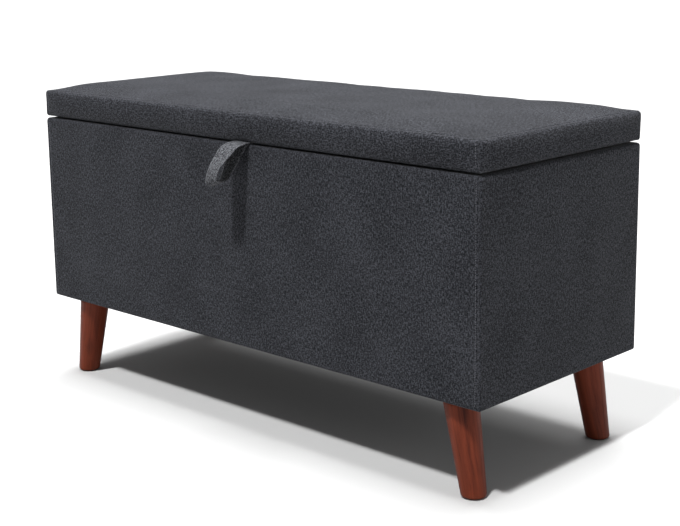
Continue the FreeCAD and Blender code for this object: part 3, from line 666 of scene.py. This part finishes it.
def lid_panel(sizes, outline, skin):
    """The lid's crowned top as a grid of cloth. Its outer ring of points comes first and is returned."""
    columns, rows, seam = len(outline.columns), len(outline.rows), sizes.lid_seam
    inner = [(i, j) for i in range(1, columns - 1) for j in range(1, rows - 1)]
    edge = list(range(len(outline.path)))
    grid = {}
    for i, j in outline.path + inner:
        x, y, *_ = outline.spot(i, j, seam)
        crown = 0.0
        if len(grid) >= len(edge):
            nearness = (outline.half.x - seam - abs(x - outline.middle.x),
                        outline.half.y - seam - abs(y - outline.middle.y))
            rise = [1 - (1 - min(1.0, max(0.0, near) / sizes.crown_run)) ** 1.8 for near in nearness]
            crown = sizes.crown * rise[0] * rise[1]
        grid[i, j] = len(skin.points)
        skin.points.append((x, y, LID_SIDE_TOP + 0.3 * seam + crown))
    for i in range(columns - 1):
        for j in range(rows - 1):
            corners = ((i, j), (i + 1, j), (i + 1, j + 1), (i, j + 1))
            skin.faces.append(tuple(grid[corner] for corner in corners))
            skin.cloth.append([(outline.columns[a], outline.rows[b] + 2.0) for a, b in corners])
    return edge


def lid_profile(sizes, outline):
    """Insets and heights from the top seam down the side strip, under the foot and in to the board."""
    low, foot, seam = LID_LOW.z, sizes.lid_foot, sizes.lid_seam
    hem = outline.half.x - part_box("lid_lining")[1].x
    profile = [(seam * 0.25, LID_SIDE_TOP - seam * 0.35), (0.0, LID_SIDE_TOP - seam)]
    upright = spread(low + foot, LID_SIDE_TOP - seam, 4.5 * MM, [0.0, 3.0 * MM])
    profile += [(0.0, height) for height in reversed(upright[1:-1])]
    profile += [(inset, low + drop) for inset, drop in reversed(quarter(foot, 5))]
    board_inset = LID_HIGH.x - BOARD_HIGH.x
    return profile + [(hem * 0.6, low), (hem, low), (hem, BOARD_LOW.z - SLACK),
                      (board_inset - SLACK, BOARD_LOW.z - SLACK),
                      (board_inset - SLACK, BOARD_HIGH.z + SLACK)]


def ease_top(sizes, outline, points):
    """The top panel's puckers beside its seam, the seam's groove, and slow waves, more at the back."""
    for point in points:
        place = point.co
        x, y = place.x - outline.middle.x, place.y - outline.middle.y
        near_x, near_y = outline.half.x - sizes.lid_seam - abs(x), outline.half.y - sizes.lid_seam - abs(y)
        near = max(0.0, min(near_x, near_y))
        along = x if near_y < near_x else y
        pucker = noise.noise(Vector((along / (6.5 * MM), 11.0 if near_y < near_x else 23.0, near * 20)))
        lift = sizes.pucker * 1.5 * pucker * math.exp(-near / (14 * MM)) * smooth_step(near / (5 * MM))
        lift -= 1.0 * MM * math.exp(-((near - 2.2 * MM) / (1.6 * MM)) ** 2)
        lift += sizes.ease * noise.noise(Vector((x / 0.085, y / 0.11, 4.0))) * smooth_step(near / 0.05)
        back = smooth_step((y - 0.05) / 0.12) * smooth_step(near_y / (12 * MM))
        lift += 1.5 * sizes.ease * back * noise.noise(Vector((x / 0.075, 31.0, 0.0)))
        place.z += lift


def ease_sides(sizes, outline, rings, points):
    """The side strip's upright seams beside the corners, and the ripples under the top seam."""
    for ring in rings:
        for k, index in enumerate(ring):
            place = points[index].co
            spot = outline.spot(*outline.path[k], 0.0)
            near = outline.corner_distance(spot)
            fade = smooth_step((place.z - LID_LOW.z) / (9 * MM))
            fade *= smooth_step((LID_SIDE_TOP - place.z) / (6 * MM))
            lift = 0.6 * MM * noise.noise(Vector((place.x * 14, place.y * 14, place.z * 30)))
            if near is not None:
                lift += seam_relief(sizes, near - sizes.seam_inset - 2 * MM, place.z, 19 + 3.0 * spot[3])
            ripple = noise.noise(Vector((outline.around[k] / (6 * MM), 5.0, place.z * 15)))
            under_seam = math.exp(-max(0.0, LID_SIDE_TOP - place.z) / (10 * MM))
            lift = lift * fade + sizes.pucker * ripple * under_seam * 0.8
            place.x += spot[2] * lift
            place.y += spot[3] * lift


def lid_upholstery(sizes):
    """The crowned top panel and its side strip, tightened over the foam and then sewn in."""
    outline = Outline(LID_LOW, LID_HIGH, sizes.lid_corner, sizes.grid * 0.9, LID_EDGES)
    skin = Skin()

    def side_bulge(spot, inset, height):
        """The foam pushes the sides out between the corners, and they draw in towards their foot."""
        if inset >= sizes.lid_foot or height <= LID_LOW.z:
            return 0.0
        x, y, out_x, out_y = spot
        face = max(abs(out_x), abs(out_y)) ** 8
        near = outline.half.x - abs(x - outline.middle.x)
        if abs(out_x) > 0.9:
            near = outline.half.y - abs(y - outline.middle.y)
        rise = min(1.0, max(0.0, (height - LID_LOW.z) / (LID_SIDE_TOP - LID_LOW.z)))
        swell = math.sin(math.pi * rise ** 1.5) ** 0.8
        bulge = sizes.lid_bulge * swell * smooth_step(near / 0.05 + 0.15)
        return (bulge - sizes.lid_lean * (1 - rise)) * face

    edge = lid_panel(sizes, outline, skin)
    top_count = len(skin.points)
    rings = skin.wrap(outline, lid_profile(sizes, outline), side_bulge,
                      (edge, (sizes.lid_seam, LID_SIDE_TOP)), turned=True)
    piece = new_piece("lid_upholstery", skin.mesh("lid_upholstery"), finishes()["upholstery cloth"])
    free = set(range(len(edge), top_count))
    for ring in rings[2:-UNDER_RINGS - 1]:
        free.update(ring)
    held = [index for index in range(len(skin.points)) if index not in free]
    fill_with_foam(piece, held, sizes.swell)
    points = piece.data.vertices
    ease_top(sizes, outline, points[:top_count])
    ease_sides(sizes, outline, rings[1:-UNDER_RINGS], points)
    smooth = piece.modifiers.new("smooth", "SUBSURF")
    smooth.levels = smooth.render_levels = 1
    apply_modifiers(piece)
    outward(piece, fill=True)
    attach(piece, "lid")
    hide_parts("lid_cover", "lid_foam")


# ---------------------------------------------------------------- pull tab
def strap_line():
    """The strap's middle line as (y, z) points: in over the tail, round the loop and back."""
    root = joint("pull_tab_swing")["pos_m"]
    reach, drop = TAB_LOW.y - root[1], TAB_LOW.z - root[2]
    layer = (TAIL_HIGH.z - TAIL_LOW.z) / 2
    over, under = TAIL_HIGH.z - layer / 2, TAIL_LOW.z + layer / 2
    loop = [(0.16, 0.015), (0.40, 0.08), (0.64, 0.36), (0.84, 0.64), (0.90, 0.84), (0.92, 1.00),
            (0.84, 1.09), (0.68, 1.09), (0.52, 0.98), (0.38, 0.72), (0.24, 0.42), (0.12, 0.15)]
    corners = [(TAIL_HIGH.y, over), (root[1] + ROOT_RUN, over), (root[1], over)]
    corners += [(root[1] + reach * out, root[2] + drop * down) for out, down in loop]
    corners += [(root[1], under), (root[1] + ROOT_RUN, under), (TAIL_HIGH.y, under)]
    for _ in range(ROUNDINGS):
        cut = [corners[0]]
        for here, after in zip(corners, corners[1:]):
            cut.append(tuple(here[axis] * 0.75 + after[axis] * 0.25 for axis in (0, 1)))
            cut.append(tuple(here[axis] * 0.25 + after[axis] * 0.75 for axis in (0, 1)))
        corners = cut + [corners[-1]]
    return corners


def strap_place(sizes, spot, way, across, lift):
    """A point of the strap: across it from -1 to 1, and lifted off its middle line."""
    half = (TAB_HIGH.x - TAB_LOW.x) / 2
    y, z = spot[0] - way[1] * lift, spot[1] + way[0] * lift
    hang = smooth_step((TAIL_LOW.z - z) / (TAIL_LOW.z - TAB_LOW.z))
    z += sizes.strap_lean * across * hang
    beside, ahead = across * half * (1 - 0.20 * hang), y - TAB_HIGH.y
    turn = sizes.strap_turn * hang if ahead <= 0 else 0.0
    return ((TAB_LOW.x + TAB_HIGH.x) / 2 + beside * math.cos(turn) + ahead * math.sin(turn),
            TAB_HIGH.y + ahead * math.cos(turn) - beside * math.sin(turn), z)


def ways_along(line):
    """The line's direction at each of its points."""
    ways = []
    for index in range(len(line)):
        before, after = line[max(0, index - 1)], line[min(len(line) - 1, index + 1)]
        size = math.dist(before, after)
        ways.append(((before[0] - after[0]) / size, (before[1] - after[1]) / size))
    return ways


def pull_strap(sizes):
    """A flat tube of cloth swept along the strap's line."""
    line = strap_line()
    ways = ways_along(line)
    thin = sizes.strap / 2 * PRESSED
    half = (TAB_HIGH.x - TAB_LOW.x) / 2
    flat = [(place, 1.0) for place in (0.93, STITCH_LINE, 0.6, 0.3, 0.0, -0.3, -0.6, -STITCH_LINE, -0.93)]
    ring = [(1.0 - thin / half * (1 - math.cos(math.radians(turn))), math.sin(math.radians(turn)))
            for turn in (-60, -30, 0, 30, 60)]
    ring += flat + [(-across, up) for across, up in reversed(ring)]
    ring += [(across, -up) for across, up in reversed(flat)]
    skin = Skin()
    rings, lengths, travelled, last = [], [], 0.0, line[0]
    for spot, way in zip(line, ways):
        travelled += math.dist(spot, last)
        last = spot
        lengths.append(travelled)
        points = []
        for across, up in ring:
            stitched = 0.25 * MM * math.exp(-((abs(across) - STITCH_LINE) * half / (0.9 * MM)) ** 2)
            points.append(strap_place(sizes, spot, way, across, up * (thin - stitched)))
        rings.append(skin.add(points))
    around = [0.0]
    for here, after in zip(ring, ring[1:] + ring[:1]):
        around.append(around[-1] + math.hypot((here[0] - after[0]) * half, (here[1] - after[1]) * thin))
    for index in range(len(rings) - 1):
        skin.strip(rings[index], rings[index + 1], around, lengths[index:index + 2])
    for end, order in ((rings[0], 1), (rings[-1], -1)):
        face = tuple(end[::order])
        skin.faces.append(face)
        skin.cloth.append([skin.points[corner][:2] for corner in face])
    # The strap takes the copy of the cloth that is painted lighter, as painted light.
    piece = new_piece("pull_strap", skin.mesh("pull_strap"), finishes()["strap cloth"])
    outward(piece)
    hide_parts("pull_tab", "pull_tab_tail")
    blend_at_root(piece)
    return piece


def blend_at_root(piece):
    """Bakes the piece's placing into its mesh."""
    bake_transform(piece)


# ---------------------------------------------------------------- geometry nodes
class Recipe(Writer):
    """Writes one Geometry Nodes tree with named inputs, and makes pieces with it."""

    def __init__(self, name, **inputs):
        self.tree = bpy.data.node_groups.new(name, "GeometryNodeTree")
        self.tree.interface.new_socket(name="Geometry", in_out="OUTPUT", socket_type="NodeSocketGeometry")
        self.identifiers = {}
        for label, kind in {"Geometry": "Geometry", "Material": "Material", **inputs}.items():
            socket = self.tree.interface.new_socket(name=label, in_out="INPUT",
                                                    socket_type="NodeSocket" + kind)
            self.identifiers[label] = socket.identifier
        entry = self.tree.nodes.new("NodeGroupInput")
        self.inputs = {label: Value(self, entry.outputs[label]) for label in self.identifiers}

    def end(self, geometry):
        real = self.node("GeometryNodeRealizeInstances", {}, {0: geometry})
        painted = self.node("GeometryNodeSetMaterial", {},
                            {"Geometry": real, "Material": self.inputs["Material"]})
        leave = self.tree.nodes.new("NodeGroupOutput")
        self.tree.links.new(painted.socket, leave.inputs[0])
        return self

    def make(self, name, start, material, **values):
        piece = bpy.data.objects.new(name, start)
        bpy.context.scene.collection.objects.link(piece)
        step = piece.modifiers.new(self.tree.name, "NODES")
        step.node_group = self.tree
        for label, value in {"Material": material, **values}.items():
            step[self.identifiers[label]] = value
        apply_modifiers(piece)
        piece.data.shade_smooth()
        return piece


def leg_recipe():
    """A leg turned between two radii, its foot rounded over, leaning from its foot to its top."""
    recipe = Recipe("turned leg", Height="Float", Top="Float", Foot="Float", Rounding="Float",
                    Lean="Vector", Stand="Vector", Grain="Vector")
    given = recipe.inputs
    blank = recipe.node("GeometryNodeMeshCylinder", {"fill_type": "TRIANGLE_FAN"},
                        {"Vertices": 64, "Side Segments": 44, "Fill Segments": 4, "Radius": 1.0,
                         "Depth": 1.0})
    place = recipe.node("GeometryNodeInputPosition")
    share = (place.part(2) + 0.5).math("POWER", 1.7)
    height = share * given["Height"]
    bite = (given["Rounding"] - height).math("MAXIMUM", 0.0)
    inset = given["Rounding"] - (given["Rounding"] * given["Rounding"] - bite * bite).math(
        "MAXIMUM", 0.0).math("SQRT")
    top_bite = (height - given["Height"] + 0.0012).math("MAXIMUM", 0.0)
    radius = given["Foot"] + (given["Top"] - given["Foot"]) * share - inset - top_bite
    turned = recipe.xyz(place.part(0) * radius, place.part(1) * radius, height)
    grain = recipe.vector("ADD", turned, given["Grain"])
    marked = recipe.node("GeometryNodeStoreNamedAttribute", {"data_type": "FLOAT_VECTOR"},
                         {"Geometry": blank, "Name": GRAIN_MAP, "Value": grain})
    lean = recipe.node("ShaderNodeVectorMath", {"operation": "SCALE"}, {0: given["Lean"], 3: share})
    stood = recipe.vector("ADD", recipe.vector("ADD", turned, lean), given["Stand"])
    return recipe.end(recipe.node("GeometryNodeSetPosition", {}, {0: marked, "Position": stood}))


def turned_legs(sizes):
    recipe = leg_recipe()
    for order, name in enumerate(LEG_NAMES):
        low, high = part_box("leg_" + name)
        glide_low, glide_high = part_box("foot_glide_" + name)
        plate_low, plate_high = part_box("leg_plate_" + name)
        foot = (glide_low + glide_high) / 2
        top = (plate_low + plate_high) / 2
        outer, inner = (high.x, low.x) if top.x > 0 else (low.x, high.x)
        foot_radius = abs(outer - foot.x) + 0.5 * MM
        top_radius = abs(inner - top.x)
        leg = recipe.make(
            "turned_leg_" + name, bpy.data.meshes.new("leg start"), finishes()["stained wood"],
            Height=high.z - low.z, Top=top_radius, Foot=foot_radius, Rounding=sizes.leg_foot_round,
            Lean=(top.x - foot.x, top.y - foot.y, 0.0), Stand=(foot.x, foot.y, low.z),
            Grain=(0.31 * order + 0.013, 0.17 * order, 0.07 * order))
        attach(leg, "chest")
        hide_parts("leg_" + name)


def stitch_recipe():
    """Short lengths of thread laid end to end along a line."""
    recipe = Recipe("stitches", Pitch="Float", Length="Float", Thread="Float")
    given = recipe.inputs
    line = recipe.node("GeometryNodeMeshToCurve", {}, {0: given["Geometry"]})
    line = recipe.node("GeometryNodeResampleCurve", {"mode": "LENGTH"},
                       {"Curve": line, "Length": given["Pitch"]})
    bead = recipe.node("GeometryNodeMeshUVSphere", {}, {"Segments": 6, "Rings": 5, "Radius": 1.0})
    size = recipe.xyz(given["Thread"], given["Thread"], given["Length"] * 0.5)
    turn = recipe.node("FunctionNodeAlignRotationToVector", {"axis": "Z"},
                       {"Vector": recipe.node("GeometryNodeInputTangent")})
    return recipe.end(recipe.node("GeometryNodeInstanceOnPoints", {}, {
        "Points": line, "Instance": bead, "Rotation": turn, "Scale": size}))


def lines_mesh(name, lines):
    """Open lines of points as one mesh of edges."""
    mesh = bpy.data.meshes.new(name)
    points, edges = [], []
    for line in lines:
        edges += [(len(points) + k, len(points) + k + 1) for k in range(len(line) - 1)]
        points += line
    mesh.from_pydata(points, edges, [])
    return mesh


def corner_lines(piece, low, high, inset, bottom, top):
    """Upright lines on a piece's front and back, beside its four corners, on its cloth."""
    lines = []
    for x in (low.x + inset, high.x - inset):
        for y, way in ((low.y - 0.05, 1.0), (high.y + 0.05, -1.0)):
            line, count = [], max(2, round((top - bottom) / (3 * MM)))
            for step in range(count + 1):
                z = bottom + (top - bottom) * step / count
                hit, place, *_ = piece.ray_cast((x, y, z), (0.0, way, 0.0))
                if hit:
                    line.append(place - Vector((0.0, way * 0.1 * MM, 0.0)))
            lines.append(line)
    return lines


def stitching(sizes):
    recipe = stitch_recipe()
    thread = finishes()["sewing thread"]
    measures = {"Pitch": sizes.stitch_pitch, "Length": sizes.stitch, "Thread": sizes.thread}
    bpy.context.view_layer.update()
    beside = sizes.seam_inset + 2.8 * MM
    box, lid = bpy.data.objects["box_upholstery"], bpy.data.objects["lid_upholstery"]
    jobs = (("box_seam_stitches", box, "chest", BOX_LOW, BOX_HIGH, beside, 9 * MM, 10 * MM),
            ("lid_seam_stitches", lid, "lid", LID_LOW, LID_HIGH, beside + 2 * MM, 10 * MM, 17 * MM))
    for name, cover, body, low, high, inset, from_foot, from_top in jobs:
        lines = corner_lines(cover, low, high, inset, low.z + from_foot, high.z - from_top)
        made = recipe.make(name, lines_mesh(name, lines), thread, **measures)
        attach(made, body)
    line = strap_line()
    ways = ways_along(line)
    lift = sizes.strap / 2 * PRESSED - 0.05 * MM
    shown = [k for k, spot in enumerate(line) if spot[0] < TAIL_LOW.y]
    lines = [[strap_place(sizes, line[k], ways[k], across, side * lift) for k in shown]
             for across in (-STITCH_LINE, STITCH_LINE) for side in (1, -1)]
    made = recipe.make("strap_stitches", lines_mesh("strap_stitches", lines), thread, **measures)
    blend_at_root(made)


def staple_recipe():
    """Wire staples pressed into the underside, one on each point."""
    recipe = Recipe("staples", Width="Float", Wire="Float")
    given = recipe.inputs
    half, wire = given["Width"] * 0.5, given["Wire"]
    crown = recipe.node("GeometryNodeCurvePrimitiveQuadrilateral", {"mode": "POINTS"}, {
        "Point 1": recipe.xyz(half * -1.0, 0.0, wire * 1.5), "Point 4": recipe.xyz(half, 0.0, wire * 1.5),
        "Point 2": recipe.xyz(half * -1.0, 0.0, wire * -0.35),
        "Point 3": recipe.xyz(half, 0.0, wire * -0.35)})
    crown = recipe.node("GeometryNodeFilletCurve", {"mode": "POLY"},
                        {"Curve": crown, "Radius": wire * 0.8, "Count": 3})
    round_wire = recipe.node("GeometryNodeCurvePrimitiveCircle", {}, {"Resolution": 6,
                                                                     "Radius": wire * 0.5})
    solid = recipe.node("GeometryNodeCurveToMesh", {}, {"Curve": crown, "Profile Curve": round_wire,
                                                        "Fill Caps": True})
    turn = recipe.node("GeometryNodeInputNamedAttribute", {"data_type": "FLOAT"}, {"Name": "turn"})
    return recipe.end(recipe.node("GeometryNodeInstanceOnPoints", {}, {
        "Points": given["Geometry"], "Instance": solid, "Rotation": recipe.xyz(z=turn)}))


def staple_rows(low, high, inset, pitch, height, keep_clear):
    """Points for a row of staples round an underside, each with the way its crown lies."""
    spots = []
    for along, across in ((0, 1), (1, 0)):
        start, end = low[along] + inset, high[along] - inset
        count = max(1, round((end - start - pitch) / pitch))
        for side in (low[across] + inset, high[across] - inset):
            for step in range(count + 1):
                place = start + pitch / 2 + (end - start - pitch) * step / count
                spot = (place, side) if along == 0 else (side, place)
                if not any(box[0] < spot[0] < box[1] and box[2] < spot[1] < box[3] for box in keep_clear):
                    spots.append((*spot, height, 0.0 if along == 0 else math.pi / 2))
    return spots


def staples(sizes):
    recipe = staple_recipe()
    margin = 9 * MM
    clear = {"chest": [], "lid": []}
    for body, words in (("chest", ("leg_plate_",)), ("lid", ("hinge_lid_leaf", "pull_tab", "stay_bracket"))):
        for node in frame["nodes"]:
            if node.startswith(words) and "screws" not in node:
                low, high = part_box(node)
                clear[body].append((low.x - margin, high.x + margin, low.y - margin, high.y + margin))
    for body, low, high in (("chest", BOX_LOW, BOX_HIGH), ("lid", LID_LOW, LID_HIGH)):
        spots = staple_rows(low, high, 17 * MM, sizes.staple_pitch, low.z, clear[body])
        spots += staple_rows(low, high, 31 * MM, sizes.staple_pitch * 1.3, low.z, clear[body])
        mesh = bpy.data.meshes.new(body + " staple points")
        mesh.from_pydata([spot[:3] for spot in spots], [], [])
        turn = mesh.attributes.new("turn", "FLOAT", "POINT")
        turn.data.foreach_set("value", [spot[3] for spot in spots])
        made = recipe.make(body + "_staples", mesh, finishes()["plated steel"], Width=10 * MM, Wire=0.8 * MM)
        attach(made, body)


# ---------------------------------------------------------------- finishes and stage
SLOT_FINISHES = {
    "upholstery_cloth": "upholstery cloth", "foam": "cut foam", "lining_cloth": "bonded lining",
    "stained_wood": "stained wood", "raw_wood": "raw pine", "board": "fibreboard",
    "plate_steel": "black steel", "hinge_steel": "plated steel", "stay_steel": "black steel",
    "stay_plastic": "moulded plastic", "fastener_steel": "plated steel", "glide_plastic": "moulded plastic",
}


def paint_nodes():
    """Every CAD node takes the finish of its material slot."""
    made = finishes()
    for node in frame["nodes"].values():
        slot = node.data.materials[0].name.split(".")[0]
        for index in range(len(node.material_slots)):
            node.material_slots[index].material = made[SLOT_FINISHES[slot]]


FLOOR_REACH = 60.0                              # metres each way, so that no edge shows
LENS, SENSOR_WIDTH, LENS_SHIFT = 74.1, 36.0, -0.081
CAMERA_PLACE = (1.7015, -1.7144, 0.8384)
CAMERA_ANGLES = (43.47, 11.18, -0.74)           # round the bench from its front, above it, and the tilt


def light(name, kind, place, target, power, **settings):
    lamp = bpy.data.lights.new(name, kind)
    lamp.energy = power
    for key, value in settings.items():
        setattr(lamp, key, value)
    made = bpy.data.objects.new(name, lamp)
    made.location = place
    made.rotation_euler = (Vector(target) - Vector(place)).to_track_quat("-Z", "Y").to_euler()
    bpy.context.scene.collection.objects.link(made)


def stage():
    """Pale floor, even studio light and the camera, in front and to the right of the bench."""
    scene = bpy.context.scene
    floor = bpy.data.meshes.new("floor")
    reach = FLOOR_REACH
    floor.from_pydata([(-reach, -reach, 0), (reach, -reach, 0), (reach, reach, 0), (-reach, reach, 0)],
                      [], [(0, 1, 2, 3)])
    paper = Finish("studio paper", roughness=0.9, specular=0.1)
    tone = paper.noise(paper.place(), 1.2, 1.0, 0.4)
    paper.done(base_color=paper.mix(tone, (0.39, 0.39, 0.39), (0.41, 0.41, 0.41)))
    ground = new_piece("floor", floor, paper.material)
    world = bpy.data.worlds.new("studio")
    world.use_nodes = True
    backdrop = world.node_tree.nodes["Background"]
    backdrop.inputs["Color"].default_value = (1.0, 1.0, 1.0, 1.0)
    backdrop.inputs["Strength"].default_value = 0.30
    scene.world = world
    light("key light", "SUN", (0.12, -1.0, 1.9), (0.0, 0.0, 0.0), 4.6, angle=math.radians(5))
    light("sky light", "SUN", (-0.1, 0.1, 2.0), (0.0, 0.0, 0.0), 4.8, angle=math.radians(25))
    light("overhead light", "AREA", (-0.5, 1.2, 2.6), (0.0, 0.05, 0.5), 40.0, shape="DISK", size=1.8)
    light("side light", "AREA", (3.4, 0.2, 1.3), (0.5, 0.0, 0.35), 14.0, shape="DISK", size=1.6)
    scene.view_settings.view_transform = "Standard"
    scene.view_settings.look = "None"
    scene.view_settings.exposure = 0.0
    camera = bpy.data.cameras.new("camera")
    camera.lens, camera.sensor_width, camera.shift_y = LENS, SENSOR_WIDTH, LENS_SHIFT
    turn, rise, roll = (math.radians(angle) for angle in CAMERA_ANGLES)
    back = Vector((math.sin(turn) * math.cos(rise), -math.cos(turn) * math.cos(rise), math.sin(rise)))
    right = Vector((math.cos(turn), math.sin(turn), 0.0))
    up = back.cross(right)
    across = right * math.cos(roll) + up * math.sin(roll)
    upward = up * math.cos(roll) - right * math.sin(roll)
    stand = bpy.data.objects.new("camera", camera)
    axes = Matrix((across, upward, back)).transposed().to_4x4()
    stand.matrix_world = Matrix.Translation(CAMERA_PLACE) @ axes
    scene.collection.objects.link(stand)
    scene.camera = stand


# ---------------------------------------------------------------- operators and panel
class BENCH_OT_box(bpy.types.Operator):
    """Make the cloth cover of the box, over its wadding"""
    bl_idname = "bench.box_upholstery"
    bl_label = "Box upholstery"

    def execute(self, context):
        box_upholstery(context.scene.bench_sizes)
        return {"FINISHED"}


class BENCH_OT_lid(bpy.types.Operator):
    """Make the padded lid's cloth, blown out over its foam"""
    bl_idname = "bench.lid_upholstery"
    bl_label = "Lid upholstery"

    def execute(self, context):
        lid_upholstery(context.scene.bench_sizes)
        return {"FINISHED"}


class BENCH_OT_strap(bpy.types.Operator):
    """Make the looped pull tab and its tails"""
    bl_idname = "bench.pull_strap"
    bl_label = "Pull tab"

    def execute(self, context):
        pull_strap(context.scene.bench_sizes)
        return {"FINISHED"}


class BENCH_OT_legs(bpy.types.Operator):
    """Turn the four wooden legs"""
    bl_idname = "bench.turned_legs"
    bl_label = "Legs"

    def execute(self, context):
        turned_legs(context.scene.bench_sizes)
        return {"FINISHED"}


class BENCH_OT_stitching(bpy.types.Operator):
    """Sew the corner seams and the strap's edges"""
    bl_idname = "bench.stitching"
    bl_label = "Stitching"

    def execute(self, context):
        stitching(context.scene.bench_sizes)
        return {"FINISHED"}


class BENCH_OT_staples(bpy.types.Operator):
    """Staple the cloth and the linings under the box and the lid"""
    bl_idname = "bench.staples"
    bl_label = "Staples"

    def execute(self, context):
        staples(context.scene.bench_sizes)
        return {"FINISHED"}


class BENCH_OT_finishes(bpy.types.Operator):
    """Give the boards, posts, linings, hinges, stays and fixings their finishes"""
    bl_idname = "bench.finishes"
    bl_label = "Finishes"

    def execute(self, context):
        paint_nodes()
        return {"FINISHED"}


class BENCH_OT_stage(bpy.types.Operator):
    """Set up the floor, the lights and the camera"""
    bl_idname = "bench.stage"
    bl_label = "Stage"

    def execute(self, context):
        stage()
        return {"FINISHED"}


OPERATORS = (BENCH_OT_box, BENCH_OT_lid, BENCH_OT_strap, BENCH_OT_legs, BENCH_OT_stitching,
             BENCH_OT_staples, BENCH_OT_finishes, BENCH_OT_stage)


class BENCH_PT_panel(bpy.types.Panel):
    """The bench's sizes, colours and pieces"""
    bl_idname = "BENCH_PT_panel"
    bl_label = "Storage Bench"
    bl_space_type = "VIEW_3D"
    bl_region_type = "UI"
    bl_category = "Bench"

    def draw(self, context):
        for group in (context.scene.bench_sizes, context.scene.bench_colours):
            box = self.layout.box()
            for key in group.__annotations__:
                box.prop(group, key)
        for operator in OPERATORS:
            self.layout.operator(operator.bl_idname)


CLASSES = (BenchSizes, BenchColours, *OPERATORS, BENCH_PT_panel)


def register():
    for item in CLASSES:
        bpy.utils.register_class(item)
    bpy.types.Scene.bench_sizes = PointerProperty(type=BenchSizes)
    bpy.types.Scene.bench_colours = PointerProperty(type=BenchColours)


def unregister():
    del bpy.types.Scene.bench_colours
    del bpy.types.Scene.bench_sizes
    for item in reversed(CLASSES):
        bpy.utils.unregister_class(item)


def main():
    register()
    bpy.ops.bench.finishes()
    bpy.ops.bench.box_upholstery()
    bpy.ops.bench.lid_upholstery()
    bpy.ops.bench.pull_strap()
    bpy.ops.bench.turned_legs()
    bpy.ops.bench.stitching()
    bpy.ops.bench.staples()
    bpy.ops.bench.stage()


if __name__ == "__main__":
    main()
